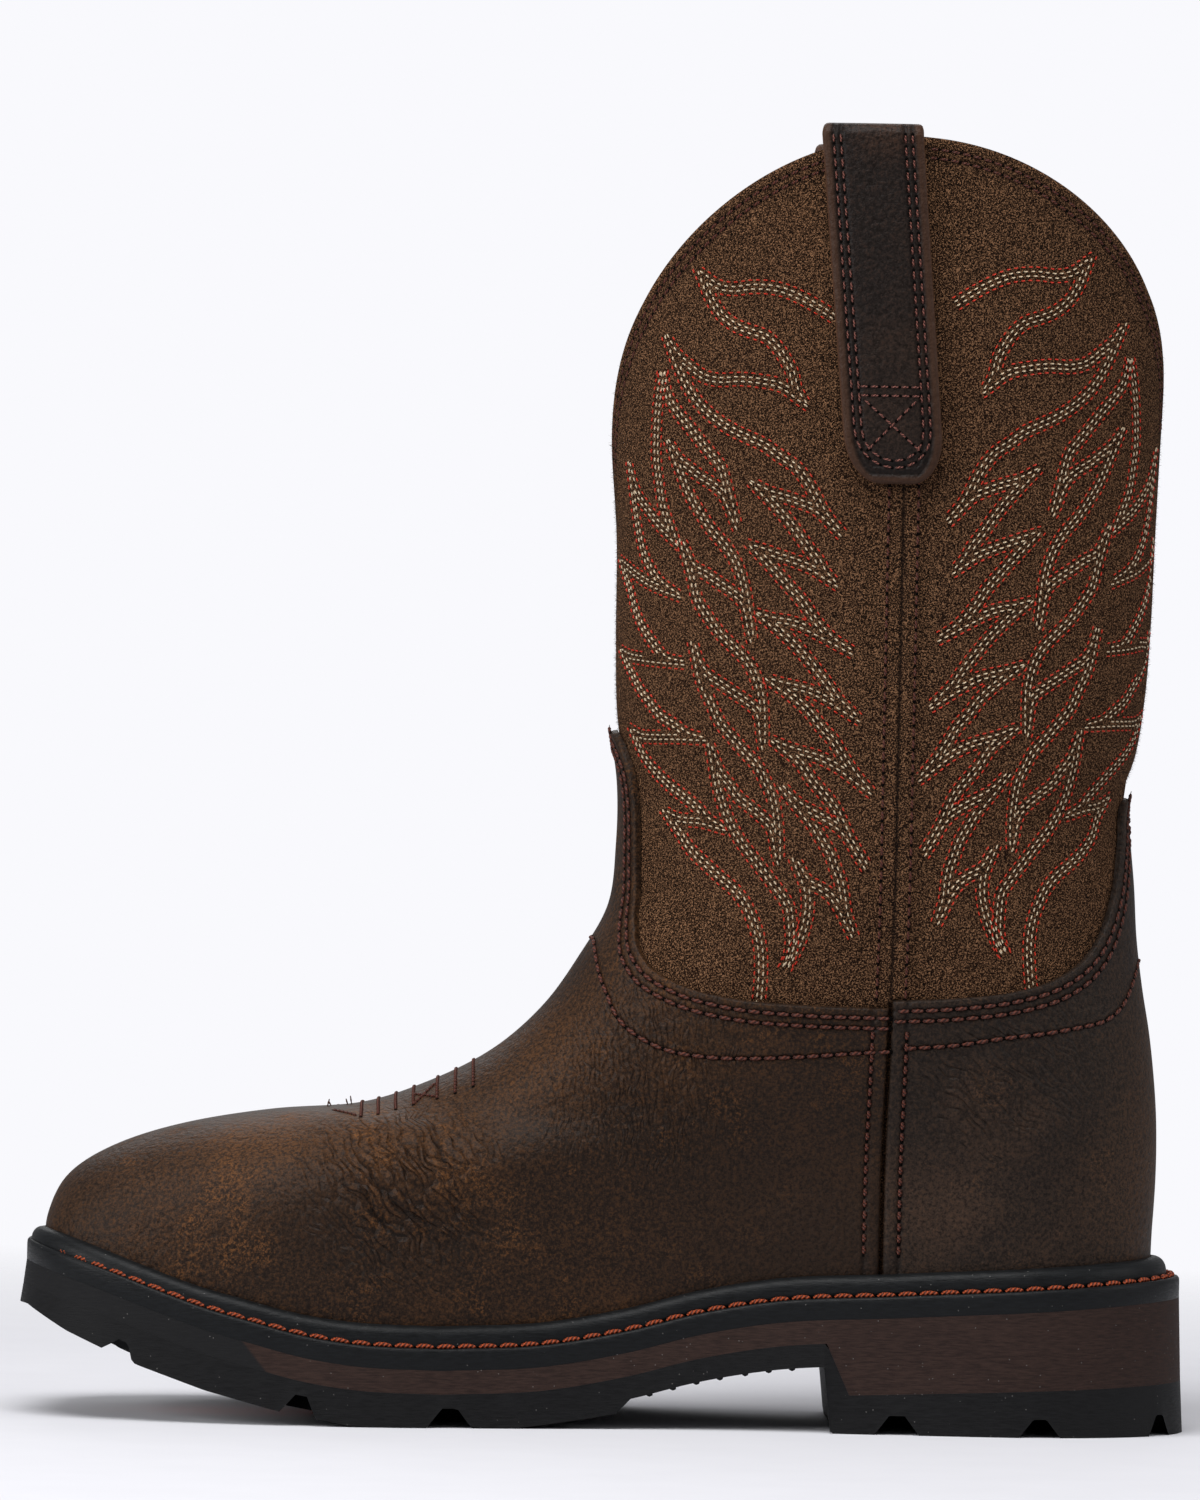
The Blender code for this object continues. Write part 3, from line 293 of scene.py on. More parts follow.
class Form:
    """The last's outer surface, sampled once as a dense grid of points and normals."""

    def __init__(self):
        rings = ring_table()
        places = np.linspace(0.0, 1.0, len(rings))
        heights = np.linspace(0.0, 1.0, RINGS_DENSE)
        table = curve_at(heights, places, rings)
        grid = np.zeros((RINGS_DENSE, 4 * CELLS_DENSE, 3))
        self.quarters = np.zeros((RINGS_DENSE, 4))
        for number, row in enumerate(table):
            medial_back, medial_front, lengths = self.half_ring(row, rings[0], 1)
            lateral_back, lateral_front, far_lengths = self.half_ring(row, rings[0], -1)
            grid[number] = np.concatenate((medial_back[:-1], medial_front[:-1], lateral_front[:0:-1],
                                           lateral_back[:0:-1]))
            self.quarters[number] = (lengths[0], lengths[1], far_lengths[1], far_lengths[0])
        self.grid = grid
        along = np.gradient(grid, axis=0)
        round_about = np.roll(grid, -1, axis=1) - np.roll(grid, 1, axis=1)
        self.normals = unit(np.cross(along, round_about))

    @staticmethod
    def half_ring(row, seat_row, side):
        """One side of a ring: half-width times both end roundings, in even steps from the seam."""
        back, front, back_up, front_up, spring, girth, blend, half_shaft = row[:8]
        back_round, front_round, back_power, front_power = row[8:]
        share = (1 - np.cos(np.linspace(0.0, math.pi, TRACE_DENSE))) / 2
        length = front - back
        x = back + share * length
        widths = table_curve(FOOT_WIDTHS, x / FOOT_LENGTH, 1 if side > 0 else 2) * BALL_WIDTH
        half = (1 - blend) * girth * widths + blend * half_shaft
        ends = rounding(share * length, back_round * length, back_power)
        ends = ends * rounding((1 - share) * length, front_round * length, front_power)
        y = side * half * ends
        seat_x = seat_row[0] + share * (seat_row[1] - seat_row[0])
        chord = seat_row[2] + share * (seat_row[3] - seat_row[2])
        z = back_up + share * (front_up - back_up) + spring * (seat_height(seat_x) - chord)
        x = x + TOE_SLANT * y * smooth_step(0.7, 1.0, share) * spring
        points = np.stack((x, y, z), axis=1)
        travel = travel_along(points)
        seam = np.interp(SEAM_PLACE + (1 - blend) * SEAM_LEAN, x, travel)
        wanted = np.linspace(0.0, 1.0, CELLS_DENSE + 1)
        behind = read_at(wanted * seam, travel, points)
        before = read_at(seam + wanted * (travel[-1] - seam), travel, points)
        return behind, before, (seam, travel[-1] - seam)

    def sample(self, field, height, girth):
        """Bilinear value of a field of the dense grid at any height and girth."""
        height, girth = np.broadcast_arrays(np.asarray(height, float), np.asarray(girth, float))
        row = np.clip(height, 0.0, 1.0) * (RINGS_DENSE - 1)
        low = np.clip(np.floor(row).astype(int), 0, RINGS_DENSE - 2)
        up = (row - low)[..., None]
        turn = np.mod(girth, 4.0) * CELLS_DENSE
        left = np.floor(turn).astype(int)
        share = (turn - left)[..., None]
        left = left % (4 * CELLS_DENSE)
        right = (left + 1) % (4 * CELLS_DENSE)
        lower = field[low, left] * (1 - share) + field[low, right] * share
        upper = field[low + 1, left] * (1 - share) + field[low + 1, right] * share
        return lower * (1 - up) + upper * up

    def normal(self, height, girth):
        return unit(self.sample(self.normals, height, girth))

    def at(self, height, girth, lift=0.0):
        """A point of the surface, moved outwards by lift along its normal."""
        lifts = np.asarray(lift, float)[..., None]
        return self.sample(self.grid, height, girth) + self.normal(height, girth) * lifts

    def height_of(self, level, girth):
        """The height at which each girth's line passes the level above the floor."""
        girth = np.atleast_1d(np.asarray(girth, float))
        level = np.broadcast_to(np.asarray(level, float), girth.shape)
        steps = np.linspace(0.0, 1.0, RINGS_DENSE)
        lines = self.sample(self.grid[:, :, 2:3], steps[:, None], girth[None, :])[:, :, 0]
        above = np.clip((lines < level).sum(axis=0), 1, RINGS_DENSE - 1)
        place = np.arange(len(girth))
        low, high = lines[above - 1, place], lines[above, place]
        return np.clip((above - 1 + (level - low) / (high - low)) / (RINGS_DENSE - 1), 0.0, 1.0)

    def height_at_place(self, place, girth):
        """The height at which each girth's line over the foot passes back over the place x."""
        steps = np.linspace(0.0, 1.0, RINGS_DENSE)
        lines = self.sample(self.grid[:, :, 0:1], steps[:, None], girth[None, :])[:, :, 0]
        before = np.clip((lines > place).sum(axis=0), 1, RINGS_DENSE - 1)
        each = np.arange(len(girth))
        low, high = lines[before - 1, each], lines[before, each]
        passed = np.clip((low - place) / np.maximum(low - high, 1e-9), 0.0, 1.0)
        return (before - 1 + passed) / (RINGS_DENSE - 1)

    def length(self, height, girth):
        """Length of the quarter of a ring in which the girth lies."""
        row = np.clip(height, 0.0, 1.0) * (RINGS_DENSE - 1)
        low = np.clip(np.floor(row).astype(int), 0, RINGS_DENSE - 2)
        quarter = np.floor(np.mod(girth, 4.0)).astype(int) % 4
        share = row - low
        return self.quarters[low, quarter] * (1 - share) + self.quarters[low + 1, quarter] * share

    def settle(self, height, girth, target, sight=None):
        """The height and girth nearest to each target point, or to each line of sight through it, by
        Gauss-Newton steps from a first guess. Along a sight the difference is taken square to it."""
        height, girth = np.array(height, float), np.array(girth, float)
        step = 0.004
        for _ in range(14):
            here = self.sample(self.grid, height, girth)
            up = (self.sample(self.grid, height + step, girth)
                  - self.sample(self.grid, height - step, girth)) / (2 * step)
            round_about = (self.sample(self.grid, height, girth + step)
                           - self.sample(self.grid, height, girth - step)) / (2 * step)
            miss = target - here
            if sight is not None:
                up, round_about, miss = (v - sight * np.sum(v * sight, axis=-1, keepdims=True)
                                         for v in (up, round_about, miss))
            pairs = ((up, up), (up, round_about), (round_about, round_about))
            a, b, c = (np.sum(u * v, axis=-1) for u, v in pairs)
            d, e = np.sum(up * miss, axis=-1), np.sum(round_about * miss, axis=-1)
            scale = np.maximum(a * c - b * b, 1e-4 * a * c)
            height = np.clip(height + np.clip((c * d - b * e) / scale, -0.05, 0.05), 0.0, 1.0)
            girth = girth + np.clip((a * e - b * d) / scale, -0.10, 0.10)
        return height, girth


form = Form()
print("form:", form.grid.shape[0], "rings of", form.grid.shape[1], "points")

# %% [markdown]
# ### The edges that trim the form
# The collar dips in a V at the front and the back, and the vamp's tongue and the counter's tab climb
# there. Both are heights over the floor, given as functions of the girth.

# %% Collar and overlay edges
def quarter_share(girth):
    """Share of the girth from the nearest centre line, back or front, to the side seam."""
    turn = np.mod(np.asarray(girth, float), 2.0)
    return np.minimum(turn, 2.0 - turn)


def is_front(girth):
    turn = np.mod(np.asarray(girth, float), 4.0)
    return (turn >= 1.0) & (turn <= 3.0)


def overlay_level(girth):
    """Height of the vamp's and the counter's upper edge."""
    share = quarter_share(girth)
    tongue = table_curve(TONGUE_EDGE, share) * (TONGUE_HEIGHT - OVERLAY_SIDE_HEIGHT)
    counter = table_curve(COUNTER_EDGE, share) * (COUNTER_HEIGHT - OVERLAY_SIDE_HEIGHT)
    counter = counter + COUNTER_STEP * smooth_step(0.0, 0.5, share)
    return OVERLAY_SIDE_HEIGHT + np.where(is_front(girth), tongue, counter)


def collar_level(girth):
    """Height of the collar: high at the side seams, with a V-shaped dip at the front and the back."""
    wave = np.sqrt(np.sin(quarter_share(girth) * math.pi / 2) ** 2 + DIP_SOFTNESS**2) - DIP_SOFTNESS
    wave = wave / (math.sqrt(1 + DIP_SOFTNESS**2) - DIP_SOFTNESS)
    front = is_front(girth)
    power = np.where(front, FRONT_DIP_POWER, BACK_DIP_POWER)
    return COLLAR_HEIGHT - np.where(front, FRONT_DIP, BACK_DIP) * (1 - wave**power)


def trace(level, first, last, cells):
    """Heights and girths of the line at level(girth), quarters first to last, in even steps."""
    heights, girths = [], []
    for quarter in range(first, last):
        dense = quarter + (1 - np.cos(np.linspace(0.0, math.pi, TRACE_DENSE))) / 2
        inner = np.clip(dense, quarter + 1e-6, quarter + 1 - 1e-6)
        height = form.height_of(level(inner), inner)
        travel = travel_along(form.at(height, dense))
        shares = np.linspace(0.0, 1.0, cells + 1)[: -1 if quarter < last - 1 else None]
        girths.append(np.interp(shares * travel[-1], travel, dense))
        heights.append(np.interp(shares * travel[-1], travel, height))
    return np.concatenate(heights), np.concatenate(girths)


# %% [markdown]
# ## Meshes from grids
# A grid of points becomes quads by shifting one index array. A closed shell is two grids joined along
# their border, and a ring-shaped one wraps its grid both ways. If the enclosed volume comes out
# negative the faces point inwards, so they are turned round.

# %% Helpers that put arrays into meshes
def grid_quads(rows, columns, wrap_rows=False, wrap_columns=False):
    """Quads of a grid of points whose rows and columns may close on themselves."""
    index = np.arange(rows * columns).reshape(rows, columns)
    if wrap_rows:
        index = np.concatenate((index, index[:1]))
    if wrap_columns:
        index = np.concatenate((index, index[:, :1]), axis=1)
    corners = (index[:-1, :-1], index[:-1, 1:], index[1:, 1:], index[1:, :-1])
    return np.stack(corners, axis=-1).reshape(-1, 4)


def shell_quads(rows, columns):
    """Quads of a closed shell between two equal grids, the second stored after the first."""
    count = rows * columns
    outer = grid_quads(rows, columns)
    index = np.arange(count).reshape(rows, columns)
    border = np.concatenate((index[0, :-1], index[:-1, -1], index[-1, :0:-1], index[:0:-1, 0]))
    after = np.roll(border, -1)
    rim = np.stack((after, border, border + count, after + count), axis=1)
    return np.concatenate((outer, outer[:, ::-1] + count, rim))


def volume(points, faces):
    """Signed volume inside a closed mesh: a sixth of the sum of a . (b x c) over its triangles."""
    triangles = faces if faces.shape[1] == 3 else np.concatenate((faces[:, :3], faces[:, (0, 2, 3)]))
    a, b, c = (points[triangles[:, place]] for place in range(3))
    return float(np.sum(a * np.cross(b, c)) / 6)


def place_object(name, data):
    """A new object in the scene."""
    made = bpy.data.objects.new(name, data)
    bpy.context.scene.collection.objects.link(made)
    return made


def piece(name, points, faces, finish, stands_for=(), attributes=None, sharp=55.0, merge=False):
    """One mesh object at the origin, with its place in its mesh, that rides on the boot."""
    points = np.asarray(points, float).reshape(-1, 3)
    faces = faces if volume(points - points.mean(axis=0), faces) > 0 else faces[:, ::-1]
    mesh = bpy.data.meshes.new(name)
    mesh.from_pydata(points - SHIFT, [], faces)
    for key, values in (attributes or {}).items():
        values = np.asarray(values, np.float32).ravel()
        mesh.attributes.new(key, "FLOAT", "POINT").data.foreach_set("value", values)
    if merge:
        work = bmesh.new()
        work.from_mesh(mesh)
        bmesh.ops.remove_doubles(work, verts=work.verts, dist=1e-6)
        bmesh.ops.dissolve_degenerate(work, edges=work.edges, dist=1e-7)
        work.to_mesh(mesh)
        work.free()
    mesh.materials.append(finish)
    mesh.shade_smooth()
    mesh.set_sharp_from_angle(angle=math.radians(sharp))
    made = place_object(name, mesh)
    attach(made, "root")
    for node in stands_for:
        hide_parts(node)
    print(f"{name}: {len(mesh.polygons)} faces")
    return made


# %% [markdown]
# ## Finishes
# Each finish is a tree of nodes on Object coordinates, so grain has one scale all over the boot. Effects
# that several finishes share, such as grain, blotches, dust and needle channels, are node groups with
# named inputs, placed in each material with its own values.

# %% Helpers that add nodes
def add(tree, kind, settings=(), **sockets):
    """One node. A socket takes a value or an output; i0, i1 and so on name it by number."""
    made = tree.nodes.new("ShaderNode" + kind)
    for key, value in dict(settings).items():
        setattr(made, key, value)
    for key, value in sockets.items():
        by_number = key[0] == "i" and key[1:].isdigit()
        socket = made.inputs[int(key[1:]) if by_number else key.replace("_", " ")]
        if isinstance(value, bpy.types.NodeSocket):
            tree.links.new(value, socket)
        else:
            socket.default_value = value
    return made


def maths(tree, operation, first, second=0.0, clamp=False):
    return add(tree, "Math", {"operation": operation, "use_clamp": clamp}, i0=first, i1=second).outputs[0]


def times(tree, first, second):
    return maths(tree, "MULTIPLY", first, second)


def plus(tree, first, second, clamp=False):
    return maths(tree, "ADD", first, second, clamp=clamp)


def point_value(tree, name):
    """The value that each point of the mesh carries under this name."""
    return add(tree, "Attribute", {"attribute_name": name}).outputs["Fac"]


def apart(tree, place, centre):
    """Distance between two places."""
    return add(tree, "VectorMath", {"operation": "DISTANCE"}, i0=place, i1=centre).outputs["Value"]


def noise(tree, vector, scale, detail=2.0, rough=0.5):
    return add(tree, "TexNoise", Vector=vector, Scale=scale, Detail=detail, Roughness=rough).outputs["Fac"]


def remap(tree, value, low, high, to_low=0.0, to_high=1.0):
    """A value stretched so that low becomes to_low and high becomes to_high, clamped."""
    return add(tree, "MapRange", i0=value, i1=low, i2=high, i3=to_low, i4=to_high).outputs[0]


def blend_colour(tree, share, first, second):
    made = add(tree, "Mix", {"data_type": "RGBA", "blend_type": "MIX"})
    for index, value in ((0, share), (6, first), (7, second)):
        if isinstance(value, bpy.types.NodeSocket):
            tree.links.new(value, made.inputs[index])
        else:
            made.inputs[index].default_value = value if index == 0 else (*value, 1.0)
    return made.outputs[2]


def rgb(red, green, blue):
    """A colour read in the usual 0 to 255 steps, as linear light."""
    return tuple(((v / 255 + 0.055) / 1.055) ** 2.4 if v > 10 else v / 255 / 12.92
                 for v in (red, green, blue))


def group(name, outputs, **inputs):
    """A new node group. An input without a value is a vector, and every other socket is a number.
    Returns the tree, its inputs and its outputs."""
    tree = bpy.data.node_groups.new(name, "ShaderNodeTree")
    for key, value in inputs.items():
        kind = "Vector" if value is None else "Float"
        socket = tree.interface.new_socket(key, in_out="INPUT", socket_type="NodeSocket" + kind)
        if value is not None:
            socket.default_value = value
    for key in outputs:
        tree.interface.new_socket(key, in_out="OUTPUT", socket_type="NodeSocketFloat")
    return tree, tree.nodes.new("NodeGroupInput").outputs, tree.nodes.new("NodeGroupOutput").inputs


def place_group(tree, source, **sockets):
    made = tree.nodes.new("ShaderNodeGroup")
    made.node_tree = source
    for key, value in sockets.items():
        if isinstance(value, bpy.types.NodeSocket):
            tree.links.new(value, made.inputs[key])
        else:
            made.inputs[key].default_value = value
    return made.outputs


def finish(name, roughness, specular=0.5, **constants):
    """A new material: its tree, its shader and the Object coordinates."""
    made = bpy.data.materials.new(name)
    made.use_nodes = True
    tree = made.node_tree
    shader = tree.nodes["Principled BSDF"]
    shader.inputs["Roughness"].default_value = roughness
    shader.inputs["Specular IOR Level"].default_value = specular
    for key, value in constants.items():
        shader.inputs[key.replace("_", " ")].default_value = value
    return made, tree, shader, tree.nodes.new("ShaderNodeTexCoord").outputs["Object"]


def link_normal(tree, shader, height, distance):
    bump = add(tree, "Bump", Height=height, Distance=distance)
    tree.links.new(bump.outputs["Normal"], shader.inputs["Normal"])


# %% Shared effects as node groups
GRAIN, source, target = group("grain", ("Height",), Vector=None, Size=0.0012, Pebble=0.5)
frequency = maths(GRAIN, "DIVIDE", 1.0, source["Size"])
cells = add(GRAIN, "TexVoronoi", Vector=source["Vector"], Scale=frequency).outputs["Distance"]
fine = noise(GRAIN, source["Vector"], times(GRAIN, frequency, 1.7), 2.0, 0.6)
pebbles = times(GRAIN, maths(GRAIN, "SUBTRACT", 1.0, cells), source["Pebble"])
GRAIN.links.new(plus(GRAIN, pebbles, fine), target["Height"])

BLOTCHES, source, target = group("blotches", ("Mask",), Vector=None, Size=0.03, Cover=0.5, Softness=0.15)
cloud = noise(BLOTCHES, source["Vector"], maths(BLOTCHES, "DIVIDE", 1.0, source["Size"]), 3.0, 0.62)
start = maths(BLOTCHES, "SUBTRACT", 0.78, times(BLOTCHES, source["Cover"], 0.56))
end = plus(BLOTCHES, start, source["Softness"])
BLOTCHES.links.new(remap(BLOTCHES, cloud, start, end), target["Mask"])

DUST, source, target = group("dust", ("Mask",), Vector=None, Size=0.002, Amount=0.1)
specks = add(DUST, "TexVoronoi", Vector=source["Vector"], Scale=maths(DUST, "DIVIDE", 1.0, source["Size"]))
chosen = maths(DUST, "LESS_THAN", add(DUST, "SeparateColor", i0=specks.outputs["Color"]).outputs[0],
               source["Amount"])
DUST.links.new(times(DUST, chosen, maths(DUST, "LESS_THAN", specks.outputs["Distance"], 0.15)),
               target["Mask"])

CHANNEL, source, target = group("needle_channel", ("Mask",), Distance=0.0, Place=0.003, Width=0.0006)
away = maths(CHANNEL, "DIVIDE", maths(CHANNEL, "SUBTRACT", source["Distance"], source["Place"]),
             source["Width"])
CHANNEL.links.new(maths(CHANNEL, "POWER", 2.718, times(CHANNEL, times(CHANNEL, away, away), -1.0)),
                  target["Mask"])

NAP, source, target = group("nap", ("Fleck", "Height"), Vector=None, Size=0.0007)
frequency = maths(NAP, "DIVIDE", 1.0, source["Size"])
tufts = noise(NAP, source["Vector"], frequency, 1.0, 0.6)
fibres = noise(NAP, source["Vector"], times(NAP, frequency, 2.1), 1.0, 0.6)
both = plus(NAP, times(NAP, tufts, 0.6), times(NAP, fibres, 0.4))
NAP.links.new(remap(NAP, both, 0.38, 0.62), target["Fleck"])
NAP.links.new(both, target["Height"])

WRINKLES, source, target = group("wrinkles", ("Height",), Vector=None, Along=None, Across=None, Centre=None,
                                 Radius=0.02, Size=0.002)
run, spread = (add(WRINKLES, "VectorMath", {"operation": "DOT_PRODUCT"}, i0=source["Vector"],
                   i1=source[way]).outputs["Value"] for way in ("Along", "Across"))
size = source["Size"]
sway = times(WRINKLES, noise(WRINKLES, source["Vector"], maths(WRINKLES, "DIVIDE", 0.25, size), 1.0, 0.5),
             3.0)
spread = plus(WRINKLES, maths(WRINKLES, "DIVIDE", spread, size), sway)
run = maths(WRINKLES, "DIVIDE", run, times(WRINKLES, size, 3.6))
where = add(WRINKLES, "CombineXYZ", X=run, Y=spread, Z=0.0).outputs[0]
border = add(WRINKLES, "TexVoronoi", {"feature": "DISTANCE_TO_EDGE", "voronoi_dimensions": "2D"},
             Vector=where, Scale=1.0)
pillow = remap(WRINKLES, border.outputs["Distance"], 0.0, 0.22)
away = apart(WRINKLES, source["Vector"], source["Centre"])
share = remap(WRINKLES, maths(WRINKLES, "DIVIDE", away, source["Radius"]), 1.0, 0.35)
WRINKLES.links.new(times(WRINKLES, maths(WRINKLES, "SUBTRACT", 1.0, pillow), share), target["Height"])
print("groups:", ", ".join(item.name for item in bpy.data.node_groups))

# %% [markdown]
# ### Suede
# The shaft is split leather with its nap up: no gloss, a speckle of light and dark tufts half a
# millimetre across, and broad strokes where the nap lies another way.

# %% Suede
SUEDE_DARK = rgb(15, 9, 6)
SUEDE_BROWN = rgb(50, 33, 22)
SUEDE_LIGHT = rgb(148, 109, 79)


def make_suede():
    made, tree, shader, where = finish("suede", 0.95, 0.05)
    nap = place_group(tree, NAP, Vector=where, Size=0.00040)
    strokes = place_group(tree, BLOTCHES, Vector=where, Size=0.040, Cover=0.5, Softness=0.40)["Mask"]
    tint = blend_colour(tree, times(tree, strokes, 0.40), SUEDE_BROWN, SUEDE_DARK)
    seam = point_value(tree, "seam_distance")
    tint = blend_colour(tree, remap(tree, seam, 0.036, 0.004, 0.0, 0.30), tint, SUEDE_DARK)
    low = blend_colour(tree, remap(tree, nap["Fleck"], 0.50, 0.0), tint, SUEDE_DARK)
    colour = blend_colour(tree, remap(tree, nap["Fleck"], 0.50, 1.0), low, SUEDE_LIGHT)
    hem = point_value(tree, "collar_distance")
    channels = [place_group(tree, CHANNEL, Distance=hem, Place=place, Width=0.0008)["Mask"]
                for place in COLLAR_ROWS]
    pressed = plus(tree, channels[0], channels[1], clamp=True)
    crack = place_group(tree, CHANNEL, Distance=seam, Place=0.0, Width=0.0005)["Mask"]
    # Painted shade: the pressed collar channels and the crack of the side seam are darkened towards near
    # black.
    dark = plus(tree, times(tree, pressed, 0.45), times(tree, crack, 0.85), clamp=True)
    tree.links.new(blend_colour(tree, dark, colour, rgb(20, 13, 10)), shader.inputs["Base Color"])
    sunk = times(tree, plus(tree, pressed, crack), -0.6)
    link_normal(tree, shader, plus(tree, nap["Height"], sunk), 0.0010)
    return made


# %% [markdown]
# ### Oiled leather
# Waxy pull-up leather is dark where the oil sits and turns orange brown where it is rubbed or
# stretched. The rub masks are soft clouds plus a few patches placed over the toe and the ball.

# %% Leather
LEATHER_DEEP = rgb(41, 29, 21)
LEATHER_BROWN = rgb(66, 44, 27)
LEATHER_RUB = rgb(124, 80, 42)
OVERLAY_ROWS = (0.0025, 0.0052)
SEAM_ROW = 0.0040
COLLAR_ROWS = (0.0030, 0.0053)
STRAP_ROWS = (0.0030, 0.0048)


def leather_rows(tree, rows):
    """Pressed channels under the stitch rows: attribute names with the distances at which they run."""
    total = 0.0
    for attribute, places in rows:
        distance = point_value(tree, attribute)
        for place in places:
            channel = place_group(tree, CHANNEL, Distance=distance, Place=place, Width=0.0007)["Mask"]
            total = plus(tree, total, channel, clamp=True)
    return total


def make_leather(name, deep, brown, rub, cover, patches, rows, gloss=0.50, border=0.0, wrinkles=(),
                 painted_shades=()):
    """patches are places on the boot with a radius and a weight, browner; the last argument gives places
    with a radius and a weight of painted shade, darker. border is the width of a rawer, browner edge.
    wrinkles are places with a radius, a size, the direction along which the skin has folded, and a weight."""
    made, tree, shader, where = finish(name, gloss, 0.11)
    tone = place_group(tree, BLOTCHES, Vector=where, Size=0.045, Cover=0.5, Softness=0.30)["Mask"]
    cloud = place_group(tree, BLOTCHES, Vector=where, Size=0.018, Cover=cover, Softness=0.25)["Mask"]
    specks = noise(tree, where, 1100.0, 2.0, 0.85)
    rubbed = times(tree, remap(tree, cloud, 0.0, 1.0, 0.16, 0.75), remap(tree, specks, 0.50, 0.66))
    for centre, radius, weight in patches:
        offset = apart(tree, where, centre)
        near = times(tree, remap(tree, offset, radius, radius * 0.25),
                     remap(tree, cloud, 0.0, 1.0, 0.38, 1.0))
        near = times(tree, near, remap(tree, specks, 0.35, 0.60, 0.55, 1.0))
        rubbed = plus(tree, rubbed, times(tree, near, weight), clamp=True)
    colour = blend_colour(tree, tone, deep, brown)
    # Painted shade: the listed places are darkened towards the deep colour.
    painted_shade = 0.0
    for centre, radius, weight in painted_shades:
        offset = apart(tree, where, centre)
        painted_shade = plus(tree, painted_shade, remap(tree, offset, radius, radius * 0.2, 0.0, weight), clamp=True)
    folds = 0.0
    for centre, radius, size, lean, weight in wrinkles:
        along, across = (-math.cos(lean), 0.0, -math.sin(lean)), (math.sin(lean), 0.0, -math.cos(lean))
        made_folds = place_group(tree, WRINKLES, Vector=where, Along=along, Across=across, Centre=centre,
                                 Radius=radius, Size=size)
        folds = maths(tree, "MAXIMUM", folds, times(tree, made_folds["Height"], weight))
    crease = point_value(tree, "crease")
    ridge = times(tree, remap(tree, crease, -0.05, -0.4), 0.18)
    rubbed = plus(tree, rubbed, ridge, clamp=True)
    colour = blend_colour(tree, rubbed, colour, rub)
    colour = blend_colour(tree, painted_shade, colour, deep)
    colour = blend_colour(tree, remap(tree, specks, 0.52, 0.34, 0.0, 0.80), colour, rgb(20, 13, 9))
    if border:
        distance = point_value(tree, "edge_distance")
        colour = blend_colour(tree, remap(tree, distance, border, border * 0.6, 0.0, 0.38), colour, rub)
        colour = blend_colour(tree, remap(tree, distance, 0.0006, 0.0, 0.0, 0.8), colour, rub)
    pressed = leather_rows(tree, rows)
    # Painted shade: crease troughs, wrinkle folds and pressed stitch channels are darkened towards near
    # black.
    sunk = plus(tree, times(tree, remap(tree, crease, 0.15, 0.9), 0.75), times(tree, folds, 0.34))
    sunk = plus(tree, sunk, times(tree, pressed, 0.55), clamp=True)
    colour = blend_colour(tree, sunk, colour, rgb(14, 9, 7))
    tree.links.new(colour, shader.inputs["Base Color"])
    tree.links.new(remap(tree, plus(tree, specks, cloud), 0.3, 1.5, gloss - 0.06, gloss + 0.18),
                   shader.inputs["Roughness"])
    broad = place_group(tree, GRAIN, Vector=where, Size=0.0022, Pebble=0.7)["Height"]
    relief = plus(tree, times(tree, specks, 0.22), times(tree, broad, 0.28))
    relief = maths(tree, "SUBTRACT", relief, times(tree, pressed, 0.5))
    relief = maths(tree, "SUBTRACT", relief, times(tree, folds, 0.75))
    link_normal(tree, shader, relief, 0.0009)
    return made


# %% [markdown]
# ### Rubber, thread and cloth
# The sole's rubber is almost black and matt, with fine trimming lines and stray dust. Thread gets the
# twist of its strands from an attribute that each stitch carries along its own length.

# %% Rubber
TOE_CAP_PLACE = 0.0752
TOE_CAP_LEAN = 0.82
TOE_CAP_BLUR = 0.0008


def make_rubber(name, base, worn, roughness, dust, toe=None):
    made, tree, shader, where = finish(name, roughness, 0.13)
    cloud = place_group(tree, BLOTCHES, Vector=where, Size=0.02, Cover=0.5, Softness=0.5)["Mask"]
    stretched = add(tree, "Mapping", {"vector_type": "POINT"}, Vector=where,
                    Scale=(0.12, 0.12, 1.0)).outputs["Vector"]
    lines = noise(tree, stretched, 2600.0, 3.0, 0.6)
    scuffed = times(tree, remap(tree, lines, 0.35, 0.65), 0.55)
    colour = blend_colour(tree, plus(tree, scuffed, times(tree, cloud, 0.25)), base, worn)
    if toe:
        along = add(tree, "SeparateXYZ", i0=where).outputs
        ahead = maths(tree, "SUBTRACT", along[0], times(tree, along[2], TOE_CAP_LEAN))
        covered = remap(tree, ahead, TOE_CAP_PLACE, TOE_CAP_PLACE + TOE_CAP_BLUR)
        colour = blend_colour(tree, covered, colour, toe)
    specks = place_group(tree, DUST, Vector=where, Size=0.0009, Amount=dust)["Mask"]
    colour = blend_colour(tree, times(tree, specks, 0.45), colour, rgb(150, 146, 142))
    tree.links.new(colour, shader.inputs["Base Color"])
    tree.links.new(remap(tree, lines, 0.3, 0.7, roughness - 0.08, roughness + 0.12),
                   shader.inputs["Roughness"])
    grain = place_group(tree, GRAIN, Vector=where, Size=0.0008, Pebble=0.2)["Height"]
    link_normal(tree, shader, plus(tree, lines, times(tree, grain, 0.5)), 0.00010)
    return made


# %% Thread and lining
def make_thread(name, base, shade):
    made, tree, shader, _ = finish(name, 0.55, 0.25)
    strand = point_value(tree, "strand")
    # Painted shade: along each strand's twist the colour runs from the darker shade colour to the lit base
    # colour.
    wave = plus(tree, times(tree, maths(tree, "SINE", times(tree, strand, 2 * math.pi)), 0.5), 0.5)
    tree.links.new(blend_colour(tree, wave, shade, base), shader.inputs["Base Color"])
    link_normal(tree, shader, wave, 0.00018)
    return made


